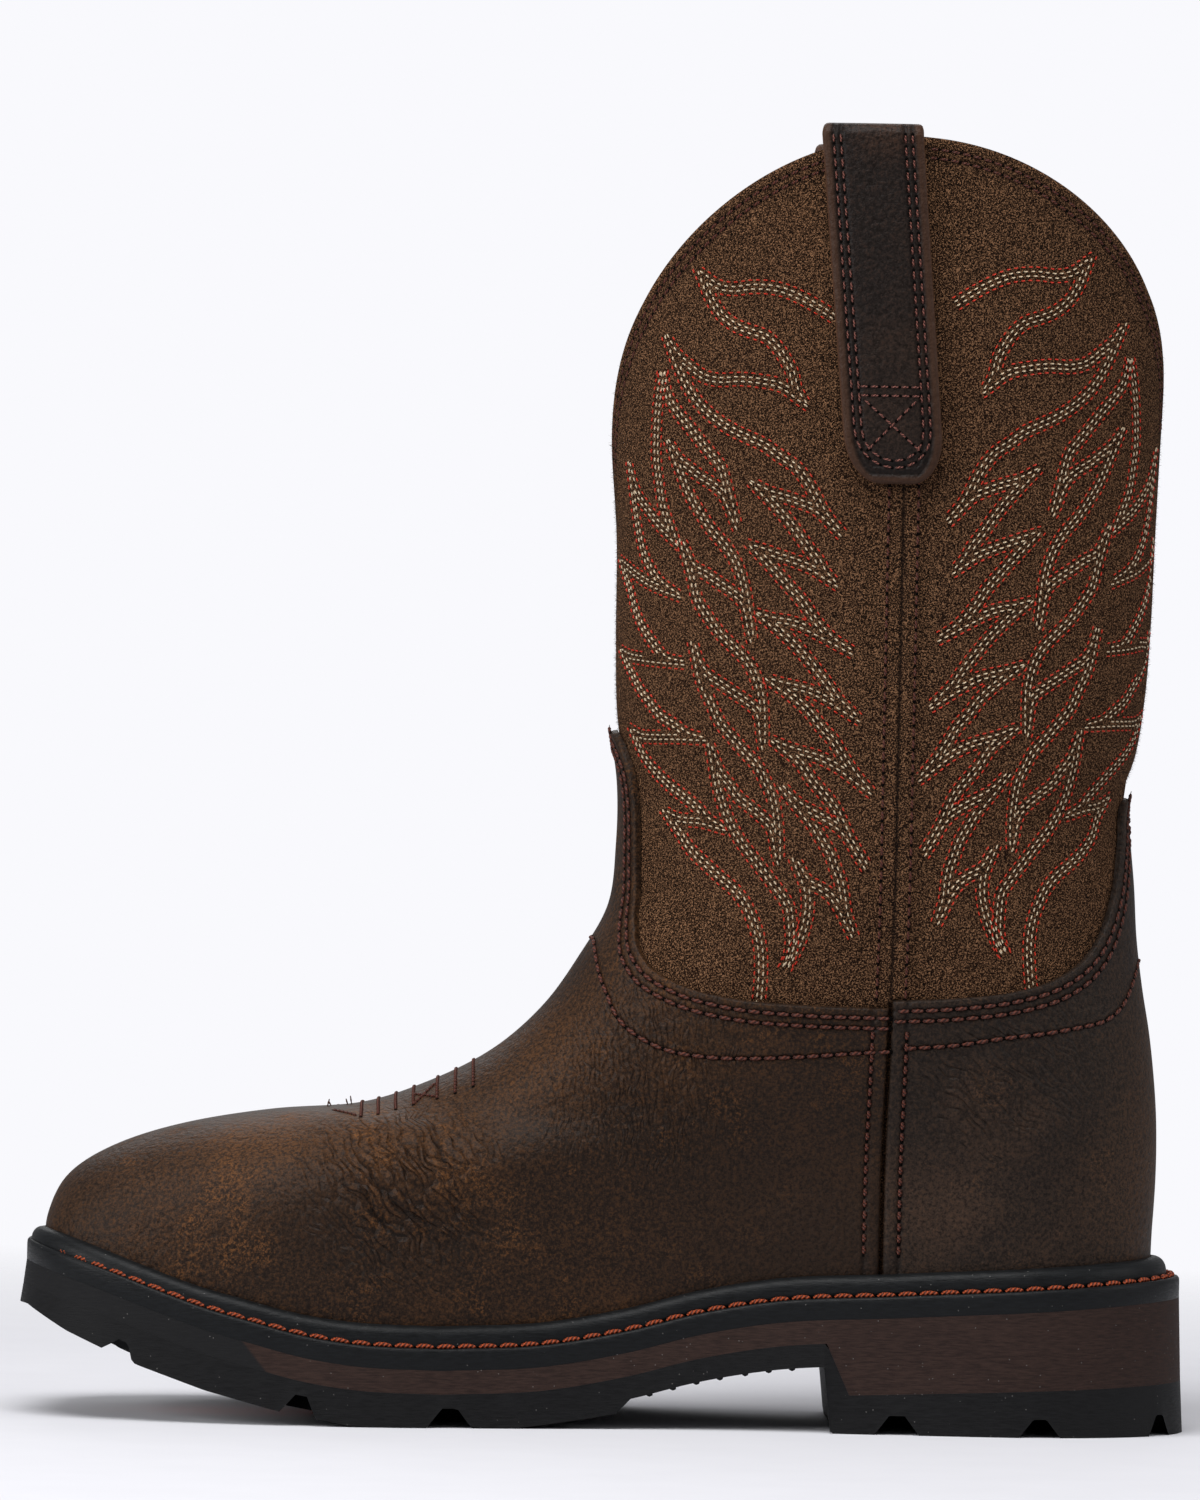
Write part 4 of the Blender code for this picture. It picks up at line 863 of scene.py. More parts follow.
def make_lining():
    made, tree, shader, where = finish("lining_cloth", 0.9, 0.2)
    threads = [add(tree, "TexWave", {"bands_direction": way}, Vector=where, Scale=260.0,
                   Distortion=0.6).outputs["Fac"] for way in "XZ"]
    weave = times(tree, threads[0], threads[1])
    cloud = place_group(tree, BLOTCHES, Vector=where, Size=0.04, Cover=0.5, Softness=0.4)["Mask"]
    colour = blend_colour(tree, cloud, rgb(78, 66, 54), rgb(98, 84, 68))
    tree.links.new(blend_colour(tree, times(tree, weave, 0.5), colour, rgb(48, 40, 33)),
                   shader.inputs["Base Color"])
    link_normal(tree, shader, weave, 0.0002)
    return made


SHEET_ROWS = (("edge_distance", OVERLAY_ROWS), ("side_distance", (SEAM_ROW,)), ("row_distance", (0.0,)))
SUEDE_FINISH = make_suede()
VAMP_FINISH = make_leather("vamp_leather", LEATHER_DEEP, LEATHER_BROWN, LEATHER_RUB, 0.42,
                           (((0.074, 0.035, 0.078), 0.032, 0.48), ((0.110, 0.030, 0.060), 0.036, 0.32),
                            ((0.048, 0.035, 0.080), 0.030, 0.40), ((0.015, 0.030, 0.100), 0.026, 0.45),
                            ((-0.012, 0.030, 0.125), 0.026, 0.30), ((0.092, 0.030, 0.075), 0.022, 0.40)),
                           SHEET_ROWS,
                           wrinkles=(((0.053, 0.040, 0.058), 0.034, 0.0021, math.radians(52), 0.9),
                                     ((-0.010, 0.040, 0.090), 0.036, 0.0015, math.radians(82), 0.45)),
                           # Painted shade low on the vamp: a broad place towards the heel, a small one at
                           # the ball and one near the toe.
                           painted_shades=(((-0.055, 0.040, 0.045), 0.055, 0.85),
                                   ((0.075, 0.045, 0.054), 0.016, 0.55),
                                   ((0.140, 0.020, 0.045), 0.030, 0.40)))
COUNTER_FINISH = make_leather("counter_leather", rgb(40, 32, 27), rgb(63, 47, 37), rgb(100, 69, 45), 0.35,
                              (((-0.150, 0.0, 0.090), 0.040, 0.7), ((-0.140, 0.02, 0.060), 0.030, 0.5)),
                              SHEET_ROWS,
                              wrinkles=(((-0.100, 0.040, 0.092), 0.030, 0.0024, math.radians(40), 0.7),))
STRAP_FINISH = make_leather("strap_leather", rgb(31, 26, 24), rgb(50, 38, 31), rgb(88, 60, 44), 0.30,
                            (((-0.067, 0.048, 0.338), 0.012, 0.9), ((-0.067, -0.048, 0.338), 0.012, 0.9)),
                            (("edge_distance", STRAP_ROWS),), 0.46, border=0.0028)
BLACK_RUBBER = make_rubber("black_rubber", rgb(15, 15, 16), rgb(30, 30, 31), 0.58, 0.05)
RIB_RUBBER = make_rubber("rib_rubber", rgb(17, 18, 19), rgb(28, 30, 32), 0.40, 0.05)
BROWN_RUBBER = make_rubber("brown_rubber", rgb(37, 26, 23), rgb(64, 48, 42), 0.70, 0.06, rgb(25, 25, 26))
INSERT_RUBBER = make_rubber("insert_rubber", rgb(150, 52, 34), rgb(170, 74, 52), 0.65, 0.02)
# Each thread gets a lit colour and a darker colour that paints the shade between its strands.
RED_THREAD = make_thread("red_thread", rgb(240, 62, 34), rgb(158, 34, 18))
CREAM_THREAD = make_thread("cream_thread", rgb(250, 234, 202), rgb(182, 148, 112))
BROWN_THREAD = make_thread("brown_thread", rgb(98, 50, 36), rgb(46, 20, 14))
STRAP_THREAD = make_thread("strap_thread", rgb(142, 86, 74), rgb(50, 26, 21))
WELT_THREAD = make_thread("welt_thread", rgb(166, 72, 34), rgb(58, 22, 12))
LINING_CLOTH = make_lining()
print("finishes:", ", ".join(item.name for item in bpy.data.materials if item.users == 0))

# %% [markdown]
# ## The side-view chart
# Creases, stitch rows and the flame pattern are drawn on one squared chart of the boot's side, as seen
# from the viewing point: squares of 0.26 mm on the boot's middle plane, counted from the side seam
# towards the toe and up from the vamp's edge. Each point is carried along its line of sight to the form.

# %% Viewing point and chart
EYE = np.array((0.1464, 2.6000, 0.1760))
CHART_SQUARE = 0.0002634
CHART_ORIGIN = (0.06728, 0.10916)
CHART_TILT = math.radians(1.2)


def chart_points(text):
    """Pairs of squares in a text of rows, as one array for each row."""
    return [np.array([[float(number) for number in pair.split(",")] for pair in row.split()])
            for row in text.split("\n") if row.strip()]


def on_form(squares, guess_girth=1.4):
    """Heights and girths on the medial side that the chart's points are seen on."""
    turned_x = squares[:, 0] * math.cos(CHART_TILT) + squares[:, 1] * math.sin(CHART_TILT)
    turned_z = squares[:, 1] * math.cos(CHART_TILT) - squares[:, 0] * math.sin(CHART_TILT)
    plane = np.stack((CHART_ORIGIN[0] + turned_x * CHART_SQUARE, np.zeros(len(squares)),
                      CHART_ORIGIN[1] + turned_z * CHART_SQUARE), axis=1)
    sight = unit(plane - EYE)
    girth = np.full(len(squares), guess_girth)
    height = form.height_of(plane[:, 2], girth)
    height, girth = form.settle(height, girth, plane, sight)
    return height, np.clip(girth, 0.0, 2.0)


def nearest(points, line):
    """Distance from each point to a line of points, and how far along the line its foot lies."""
    points = points.reshape(-1, 3).astype(np.float32)
    start, step = line[:-1].astype(np.float32), np.diff(line, axis=0).astype(np.float32)
    travel, length = travel_along(line), np.linalg.norm(step, axis=1)
    best, place = np.full(len(points), 9.0), np.zeros(len(points))
    for number in range(len(step)):
        offset = points - start[number]
        share = np.clip(offset @ step[number] / max(length[number] ** 2, 1e-12), 0.0, 1.0)
        distance = np.linalg.norm(offset - share[:, None] * step[number], axis=1)
        closer = distance < best
        best = np.where(closer, distance, best)
        place = np.where(closer, travel[number] + share * length[number], place)
    return best, place


# %% [markdown]
# ## The shaft
# One hollow wall of suede from the seat to the collar, with a rounded rim, and a lining inside it. Along
# each side seam the wall stands up in a low ridge, where the halves are joined over a strip.

# %% Suede shaft
SHAFT_COLUMNS = 96
FOOT_ROWS = 12
SHAFT_ROWS = 150
COLLAR_ROUND = 0.0010
FAR_AWAY = 0.05


def seam_ridge(height, girth):
    """How far the wall stands out along the side seams, and the distance from the nearest seam."""
    distance = (1.0 - quarter_share(girth)) * form.length(height, girth)
    rise = 1 - smooth_step(SEAM_RIDGE_HALF, SEAM_RIDGE_HALF + SEAM_RIDGE_FLANK, distance)
    return SEAM_RIDGE * rise, distance


def mix_lines(lower, upper, shares):
    """Rows of heights and girths from one trimming line to another."""
    t = np.asarray(shares)[:, None]
    return (1 - t) * lower[0] + t * upper[0], (1 - t) * lower[1] + t * upper[1]


def closed_line(level):
    height, girth = trace(level, 0, 4, SHAFT_COLUMNS)
    return height[:-1], girth[:-1]


seat_girths = np.linspace(0.0, 4.0, 4 * SHAFT_COLUMNS + 1)[:-1]
seat_line = (np.zeros(len(seat_girths)), seat_girths)
edge_line = closed_line(overlay_level)
collar_line = closed_line(collar_level)

foot = mix_lines(seat_line, edge_line, np.linspace(0.0, 1.0, FOOT_ROWS + 1)[:-1])
shaft_shares = 1 - (1 - np.linspace(0.0, 1.0, SHAFT_ROWS)) ** 1.15
shaft = mix_lines(edge_line, collar_line, shaft_shares)
wall_height, wall_girth = np.concatenate((foot[0], shaft[0])), np.concatenate((foot[1], shaft[1]))
ridge, seam_distance = seam_ridge(wall_height, wall_girth)
ridge[:FOOT_ROWS + 1] = 0.0
skin = form.at(wall_height, wall_girth)
collar_distance, _ = nearest(skin, np.concatenate((skin[-1], skin[-1][:1])))
collar_distance = collar_distance.reshape(wall_height.shape)
collar_round = SUEDE / 2 * (1 - rounding(collar_distance, COLLAR_ROUND, 2.0))
outer = form.at(wall_height, wall_girth, ridge - collar_round)
outer[0, :, 2] = seat_height(outer[0, :, 0])

inner_rows = np.linspace(1.0, 0.0, 10)
inner = mix_lines(seat_line, collar_line, inner_rows)
inner_lift = np.where(inner_rows[:, None] > 0.999, -SUEDE * 0.75, -SUEDE) + np.zeros_like(inner[0])
back = form.at(inner[0], inner[1], inner_lift)
back[-1, :, 2] = seat_height(back[-1, :, 0])
wall = np.concatenate((outer, back))
columns = wall.shape[1]
fill = np.full(back.shape[:2], FAR_AWAY)
piece("shaft_suede", wall, grid_quads(len(wall), columns, True, True), SUEDE_FINISH, ("upper",),
      {"collar_distance": np.concatenate((collar_distance, fill)),
       "seam_distance": np.concatenate((seam_distance, fill))})

# %% Lining
lining_rows = np.linspace(0.0, 1.0, 40)
rows_h, rows_g = mix_lines(seat_line, collar_line, lining_rows)
rows_h = rows_h - 0.0012 * lining_rows[:, None] ** 20
lining = np.concatenate((form.at(rows_h, rows_g, -WALL),
                         form.at(rows_h, rows_g, -SUEDE - 0.00005)[::-1]))
for row in (0, len(lining) - 1):
    lining[row, :, 2] = seat_height(lining[row, :, 0])
piece("shaft_lining", lining, grid_quads(len(lining), columns, True, True), LINING_CLOTH)

# %% [markdown]
# ## Vamp and counter
# Two sheets of oiled leather lie over the foot. Their edges are cut and slightly rounded. The creases at
# the ball are soft troughs with a low ridge on each side, laid along lines drawn on the chart.

# %% Creases
CREASES = """
467,-131 456,-146 446,-170
500,-152 491,-164 479,-176 470,-184
548,-143 539,-152 530,-161 518,-175 503,-190 491,-202 476,-212 462,-223
546,-161 537,-176 530,-187 519,-205 506,-221 494,-233
479,-176 458,-193 440,-200 425,-211 410,-215 390,-221
491,-214 479,-226 470,-235
443,-220 431,-227 410,-235 380,-236 335,-241
444,-170 443,-185 441,-200 441,-220
485,-139 473,-151 470,-160 458,-170
453,-110 446,-122 437,-134
524,-197 518,-208 507,-220
446,-140 440,-155 443,-167
263,-50 260,-75 255,-110
243,-55 230,-85 225,-120
278,-60 273,-95 275,-135
293,-40 297,-62 305,-90
"""
CREASE_DEPTHS = (0.45, 0.42, 0.40, 0.30, 0.28, 0.22, -0.12, 0.15,
                 0.25, 0.24, 0.20, 0.24, 0.18, 0.18, 0.14, 0.14)
CREASE_WIDTH = 0.0009


def crease_lift(points):
    """Troughs along the crease lines: -depth exp(-(d / w)^2), with low ridges at twice the width."""
    flat = points.reshape(-1, 3)
    lift = np.zeros(len(flat))
    for squares, depth in zip(chart_points(CREASES), CREASE_DEPTHS):
        fine_at = np.linspace(0, len(squares) - 1, 4 * len(squares))
        height, girth = on_form(curve_at(fine_at, np.arange(len(squares)), squares))
        for side in (girth, 4.0 - girth):
            line = form.at(height, side, GAP + OVERLAY)
            middle = line.mean(axis=0)
            reach = np.linalg.norm(line - middle, axis=1).max() + 0.008
            close = np.nonzero(np.linalg.norm(flat - middle, axis=1) < reach)[0]
            distance, place = nearest(flat[close], line)
            total = travel_along(line)[-1]
            window = smooth_step(-0.02, 0.25, place / total) * smooth_step(-0.02, 0.25, 1 - place / total)
            off = distance / CREASE_WIDTH
            trough = -np.exp(-(off**2)) + 0.45 * np.exp(-(((off - 1.9) / 0.8) ** 2))
            lift[close] += depth * 0.001 * trough * window
    return lift.reshape(points.shape[:-1])


# %% Overlay sheets
def padded(values):
    """A grid with its border repeated once, and the fourth line from the border added beyond it."""
    rows, columns = values.shape
    down = np.concatenate(([3, 0], np.arange(rows), [rows - 1, rows - 4]))
    across = np.concatenate(([3, 0], np.arange(columns), [columns - 1, columns - 4]))
    return values[np.ix_(down, across)]


def crowded(count, crowding):
    """Shares from 0 to 1, closer together where the foot bends: steps of 1 / (1 + crowding x window)."""
    even = np.linspace(0.0, 1.0, 2001)
    fold = np.minimum(even, 1 - even)
    weight = 1 + crowding * smooth_step(0.10, 0.18, fold) * smooth_step(0.42, 0.34, fold)
    run = np.concatenate(([0.0], np.cumsum((weight[1:] + weight[:-1]) / 2)))
    return np.interp(np.linspace(0.0, 1.0, count), run / run[-1], even)


ROW_POINTS = {}
CUT_ROUND = 0.0008


def make_overlay(name, first, last, cells, rows, leather, creased):
    """A sheet between two side seams from the seat to its upper edge, with cut borders turned under."""
    height, girth = trace(overlay_level, first, last, cells)
    near = np.array((0.0, 0.0010, 0.0025, 0.005))
    middle = 0.010 + 0.980 * crowded(len(girth) - 8, 1.4 if creased else 0.0)
    shares = np.concatenate((near, middle, 1 - near[::-1]))
    even = np.linspace(0.0, 1.0, len(girth))
    height, girth = np.interp(shares, even, height), np.interp(shares, even, girth)
    seat = (np.zeros(len(girth)), first + shares * (last - first))
    ups = np.concatenate((np.linspace(0.0, 0.988, rows - 4), 1 - near[::-1]))
    grid_h, grid_g = mix_lines(seat, (height, girth), ups)
    ease = (1 - np.minimum(1.0, shares / 0.2), 1 - np.minimum(1.0, (1 - shares) / 0.2))
    grid_g = grid_g + SEAM_GROOVE / 2 / form.length(grid_h, first) * ease[0]
    grid_g = grid_g - SEAM_GROOVE / 2 / form.length(grid_h, last - 0.001) * ease[1]
    base = form.at(grid_h, grid_g, GAP + OVERLAY)
    edge, _ = nearest(base, base[-1])
    sides = np.minimum(nearest(base, base[:, 0])[0], nearest(base, base[:, -1])[0]).reshape(grid_h.shape)
    edge = edge.reshape(grid_h.shape)
    row_distance = np.full(grid_h.size, FAR_AWAY)
    for line in ROW_POINTS.get(name, ()):
        row_distance = np.minimum(row_distance, nearest(base, line)[0])
    worn = OVERLAY * 0.40 * (1 - rounding(np.minimum(edge, sides), CUT_ROUND, 2.0))
    fold = 0.00035 * np.exp(-((sides - 0.0018) / 0.0012) ** 2)
    crease = crease_lift(base) if creased else np.zeros(grid_h.shape)
    lift = np.maximum(GAP + OVERLAY - worn + fold + crease, GAP + 0.0006)
    row_distance = row_distance.reshape(grid_h.shape)
    grids = [padded(field) for field in (grid_h, grid_g, lift, edge, sides, crease, row_distance)]
    turned = np.pad(np.zeros(grid_h.shape, bool), 2, constant_values=True)
    skin = form.at(grids[0], grids[1], np.where(turned, GAP, grids[2]))
    for row in (1, 2):
        skin[row, :, 2] = seat_height(skin[row, :, 0])
    attributes = {"edge_distance": grids[3], "side_distance": grids[4], "crease": -grids[5] / 0.0006,
                  "row_distance": grids[6]}
    return piece(name, skin, grid_quads(*skin.shape[:2]), leather, (name.split("_")[0],),
                 attributes)


THIRD_ROWS = """
4,-40 30,-41 95,-45 150,-47 189,-46 228,-40 259,-25 275,-8 282,10 289,30 293,55 296,85
-8,-37 -60,-34 -105,-28 -145,-24 -180,-18 -204,-12 -219,1 -227,18 -233,40 -237,70 -238,110
"""
third_lines = []
for squares in chart_points(THIRD_ROWS):
    at = np.linspace(0, len(squares) - 1, 120)
    ahead = squares[0, 0] > 0
    height, girth = on_form(curve_at(at, np.arange(len(squares)), squares), 1.4 if ahead else 0.6)
    inside = np.cumsum((girth < 0.04) | (girth > 1.96)) == 0
    height, girth = height[inside], girth[inside]
    height, girth = np.append(height, height[-1]), np.append(girth, round(girth[-1]))
    third_lines += [(height, girth), (height, 4.0 - girth)]
    ROW_POINTS["vamp_leather" if ahead else "counter_leather"] = [
        form.at(height, side, GAP + OVERLAY) for side in (girth, 4.0 - girth)]

make_overlay("vamp_leather", 1, 3, 215, 190, VAMP_FINISH, True)
make_overlay("counter_leather", 3, 5, 110, 130, COUNTER_FINISH, False)

# %% [markdown]
# ## Sole
# The welt is one profile carried round the foot: a trimmed edge, a ledge with the stitch groove, and a
# rounded rib that closes against the leather. The layers below it are slabs between two outlines.

# %% Outlines in plan
def plan_normals(points):
    """Outward unit normals of a closed line in plan."""
    tangent = np.roll(points, -1, axis=0) - np.roll(points, 1, axis=0)
    normal = unit(np.stack((-tangent[:, 1], tangent[:, 0], np.zeros(len(points))), axis=1))
    return normal * np.sign(np.sum(normal * (points - points.mean(axis=0)), axis=1).mean())


SEAT_NORMALS = plan_normals(form.grid[0])


def around(field, girths):
    """Linear value of a ring of the dense grid at any girth."""
    turn = np.mod(girths, 4.0) * CELLS_DENSE
    left = np.floor(turn).astype(int) % len(field)
    share = (turn - np.floor(turn))[:, None]
    return field[left] * (1 - share) + field[(left + 1) % len(field)] * share


def outline(girths, offset):
    """The seat ring moved out in plan."""
    return around(form.grid[0] + SEAT_NORMALS * offset, girths)


# %% Welt
WELT_COLUMNS = 640
STITCH_OFFSET = RIM - WELT_LEDGE * 0.62


def make_welt():
    girths = np.linspace(0.0, 4.0, WELT_COLUMNS + 1)[:-1]
    outward = unit(around(SEAT_NORMALS, girths))
    seat_x = form.at(np.zeros(len(girths)), girths)[:, 0]
    clear = GAP + OVERLAY + GAP
    rings = []
    for offset, drop in ((RIM - 0.00003, WELT_BASE), (RIM, WELT_BASE - 0.00005), (RIM, 0.0014),
                         (RIM - 0.0001, 0.0006), (RIM - 0.0005, 0.0001), (STITCH_OFFSET + 0.0008, 0.0),
                         (STITCH_OFFSET + 0.0004, 0.0005), (STITCH_OFFSET - 0.0004, 0.0005),
                         (RIM - WELT_LEDGE, 0.0)):
        ring = outline(girths, offset)
        ring[:, 2] = ledge_height(ring[:, 0]) - drop
        rings.append(ring)
    rib_width = WELT_WIDTH - WELT_LEDGE
    for up in (0.12, 0.28, 0.45, 0.60, 0.73, 0.84, 0.92, 0.97, 1.0):
        height = form.height_of(ledge_height(seat_x) + RIB_HEIGHT * up, girths)
        ring = form.at(height, girths, clear) + outward * rib_width * (1 - up**3.0) ** (1 / 2.4)
        rings.append(ring)
    for up in (0.6, 0.2):
        height = form.height_of(ledge_height(seat_x) + RIB_HEIGHT * up, girths)
        rings.append(form.at(height, girths, clear))
    bottom = form.at(np.zeros(len(girths)), girths, clear)
    bottom[:, 2] = seat_height(bottom[:, 0])
    rings.append(bottom)
    points = np.array(rings)
    return piece("storm_welt", points, grid_quads(len(rings), WELT_COLUMNS, True, True), RIB_RUBBER,
                 ("welt",))


make_welt()

# %% [markdown]
# ### Slabs
# A slab is a row of cross-sections from the heel to the toe. Each one runs down the medial side, across
# the underside and up the lateral side. The underside's height is a function of the place on the floor,
# so lugs, channels and the arch are only terms of that function.

# %% Slab sections
def outline_girths(offset, places):
    """Girths of the medial and lateral side at which the offset outline passes each x place."""
    turns = np.linspace(0.0, 2.0, 8 * CELLS_DENSE + 1)
    medial, lateral = outline(turns, offset), outline(4.0 - turns, offset)
    return np.interp(places, medial[:, 0], turns), np.interp(places, lateral[:, 0], turns)


LIFT_START = BREAST_PLACE + BREAST_UNDERCUT - LIFT_SETBACK


def lift_bottom(x):
    """Underside of the midsole: level with the foot in front, a heel lift behind the breast."""
    front = ledge_height(x) - WELT_BASE - MIDSOLE
    share = np.clip((np.asarray(x, float) - SOLE_BACK) / (BREAST_PLACE - SOLE_BACK), 0.0, 1.0)
    heel = HEEL_RUBBER_BACK + share * (HEEL_RUBBER_FRONT - HEEL_RUBBER_BACK)
    t = np.clip((np.asarray(x, float) - LIFT_START) / LIFT_SLOPE, 0.0, 1.0)
    return heel * (1 - t) + front * t


def tread_bottom(x):
    """Underside of the outsole: heel on the floor, arch, forefoot on the floor, toe spring."""
    x = np.asarray(x, float)
    arch = ledge_height(x) - WELT_BASE - MIDSOLE - ARCH_RUBBER
    forefoot = np.interp(sole_share(x), column(TREAD, 0), column(TREAD, 1)) * TOE_TREAD_RISE
    breast = np.clip((x - BREAST_PLACE) / BREAST_UNDERCUT, 0.0, 1.0)
    step = np.clip((x - ARCH_STEP_PLACE) / ARCH_STEP_SLOPE, 0.0, 1.0)
    return np.where(x < ARCH_STEP_PLACE, arch * breast, arch * (1 - step) + forefoot * step)


ACROSS = np.linspace(0.0, 1.0, 41)
LAYER_GAP = 0.00002


def between(first, last, shares):
    """Lines of points from a first line to a last one."""
    t = shares[:, None, None]
    return first[None] * (1 - t) + last[None] * t


def slab(name, offsets, top, bottom, breaks, rubber, node, relief=None):
    """A closed layer across the foot. relief moves the points of the underside."""
    turns = np.linspace(0.0, 2.0, 361)
    more = outline_girths(RIM, np.array(breaks))
    medial, lateral = (np.sort(np.concatenate((turns, extra))) for extra in more)
    sections = []
    for side in (medial, 4.0 - lateral):
        upper, lower = outline(side, offsets[0]), outline(side, offsets[1])
        upper[:, 2] = top(upper[:, 0])
        lower[:, 2] = bottom(lower[:, 0])
        sections.append((upper, lower))
    (near_top, near_low), (far_top, far_low) = sections
    under = between(near_low, far_low, ACROSS)
    under[:, :, 2] = bottom(under[:, :, 0])
    if relief is not None:
        under = under + relief(under)
    side_shares = np.array((0.0, 0.02, 0.25, 0.5, 0.75, 0.93))
    near = between(near_top, under[0], side_shares)
    far = between(far_top, under[-1], side_shares[::-1])
    cover = between(far_top, near_top, ACROSS[1:-1])
    cover[:, :, 2] = top(cover[:, :, 0])
    rings = np.concatenate((near, under, far, cover))
    faces = grid_quads(rings.shape[0], rings.shape[1], True, False)
    return piece(name, rings, faces, rubber, (node,), merge=True, sharp=32.0)


slab("midsole_rubber", (RIM, RIM + SOLE_FLARE / 2), lambda x: seat_height(x) - LAYER_GAP, lift_bottom,
     (LIFT_START, LIFT_START + LIFT_SLOPE), BROWN_RUBBER, "midsole")

# %% Lugs and channels
def groove_frames():
    """Place, slope angle, wide and narrow half-width and depth of each pair of side notches."""
    frames = []
    for share, half, depth in GROOVES:
        place, wide = SOLE_BACK + share * SOLE_LENGTH, half * GROOVE_DEPTH
        narrow = wide - GROOVE_FLARE * min(1.0, half * 0.9)
        slope = float(tread_bottom(place + wide) - tread_bottom(place - wide)) / (2 * wide)
        frames.append((place, math.atan(slope), wide, narrow, GROOVE_DEPTH * depth))
    return frames


def tread_relief(points):
    """Side notches and centre channels, as moves of the underside."""
    move = np.zeros_like(points)
    x, y = points[..., 0], points[..., 1]
    edge_near, edge_far = points[:1, :, 1], points[-1:, :, 1]
    for place, angle, wide, narrow, reach in groove_frames():
        along = np.abs(x - place) / math.cos(angle)
        depth = reach * np.clip((wide - along) / (wide - narrow), 0.0, 1.0)
        inner_near = np.minimum(GROOVE_REACH, edge_near - CHANNEL_WIDTH / 2)
        inner_far = np.minimum(GROOVE_REACH, -edge_far - CHANNEL_WIDTH / 2)
        inside = np.maximum(smooth_step(-0.0015, 0.0, y - (edge_near - inner_near)),
                            smooth_step(-0.0015, 0.0, edge_far + inner_far - y))
        move[..., 0] -= depth * inside * math.sin(angle)
        move[..., 2] += depth * inside * math.cos(angle)
    for start, end in CHANNELS:
        share = (x - SOLE_BACK) / SOLE_LENGTH
        inside = smooth_step(0.0, 0.004, share - start) * smooth_step(0.0, 0.004, end - share)
        inside = inside * smooth_step(-0.0010, 0.0005, CHANNEL_WIDTH / 2 - np.abs(y))
        move[..., 2] = np.maximum(move[..., 2], CHANNEL_DEPTH * inside)
    return move


breaks = [LIFT_START, BREAST_PLACE, BREAST_PLACE + BREAST_UNDERCUT, ARCH_STEP_PLACE,
          ARCH_STEP_PLACE + ARCH_STEP_SLOPE]
for place, angle, wide, narrow, reach in groove_frames():
    breaks += [place + along * math.cos(angle) for along in (-wide, -narrow, narrow, wide)]
slab("outsole_rubber", (RIM + SOLE_FLARE / 2, RIM + SOLE_FLARE), lambda x: lift_bottom(x) - LAYER_GAP,
     tread_bottom, breaks, BLACK_RUBBER, "outsole", tread_relief)

# %% Arch studs and tread insert
STUD_PLACES = np.array((0.13007, 0.12401, 0.11795, 0.11189, 0.10531, 0.09925, 0.09319))
STUD_WIDTH = 0.0017
STUD_DROP = 0.0008
STUD_ROOT = 0.0012
INSERT_DROP = 0.0009


def make_studs():
    """Rows of low round studs across the underside of the arch."""
    inset_medial, inset_lateral = outline_girths(RIM - STUD_ROOT, STUD_PLACES)
    near, far = outline(inset_medial, RIM - STUD_ROOT), outline(4.0 - inset_lateral, RIM - STUD_ROOT)
    feet = between(near, far, np.linspace(0.0, 1.0, 9)).reshape(-1, 3)
    feet[:, 2] = tread_bottom(feet[:, 0])
    down = np.tile((0.0, 0.0, 1.0), (len(feet), 1))
    make_stitches("arch_studs", feet + down * STUD_ROOT, feet - down * STUD_DROP,
                  np.tile((1.0, 0.0, 0.0), (len(feet), 1)), STUD_WIDTH, STUD_WIDTH, BLACK_RUBBER,
                  "black_rubber", stitch_template(6, 12, 0.0))


def make_insert():
    """The orange-red plate in the forefoot's channel, between the lugs."""
    shares = np.linspace(CHANNELS[1][0] + 0.02, CHANNELS[1][1] - 0.03, 60)
    x = SOLE_BACK + shares * SOLE_LENGTH
    half = CHANNEL_WIDTH / 2 - 0.0006
    corners = ((-half, CHANNEL_DEPTH), (-half, INSERT_DROP), (half, INSERT_DROP), (half, CHANNEL_DEPTH))
    rings = np.array([[(at, y, float(tread_bottom(at)) + drop) for y, drop in corners] for at in x])
    faces = np.concatenate((grid_quads(len(x), 4, False, True), [[3, 2, 1, 0]],
                            [[4 * len(x) - 4 + n for n in range(4)]]))
    piece("tread_insert", rings, faces, INSERT_RUBBER, sharp=30.0)


# %% Footbed
slab("footbed", (-WALL - GAP, -WALL - GAP), lambda x: seat_height(x) + INSOLE, seat_height, (),
     LINING_CLOTH, "insole")

# %% [markdown]
# ## Pull straps
# A band of two layers of leather, sewn outside the collar, over it and down inside. Its lower end is
# rounded. The band is a grid along and across, lifted over the seam's ridge.

# %% Straps
STRAP_EDGE_ROUND = 0.0012
STRAP_ACROSS = np.concatenate(([-1.0, -0.985, -0.95, -0.90], np.linspace(-0.8, 0.8, 13),
                               [0.90, 0.95, 0.985, 1.0]))


def quarter_circle(share):
    """Height of a quarter circle: 0 at a share of 0, and 1 at 1 and beyond."""
    return np.sqrt(np.maximum(0.0, 1 - (1 - np.minimum(share, 1.0)) ** 2))


def strap_place(seam, level, off):
    """Height and girth of a point of the strap at a level, off the strap's middle line."""
    lean = STRAP_AHEAD + STRAP_LEAN * (level - (COLLAR_HEIGHT - STRAP_DROP))
    toward_front = 1.0 if seam == 1.0 else -1.0
    middle_height = form.height_of(level, np.full(np.shape(level), seam))
    away = lean + off
    ahead = form.length(middle_height,
                        np.where(away > 0, seam + 0.5 * toward_front, seam - 0.5 * toward_front))
    girth = seam + toward_front * away / ahead
    return form.height_of(level, girth), girth


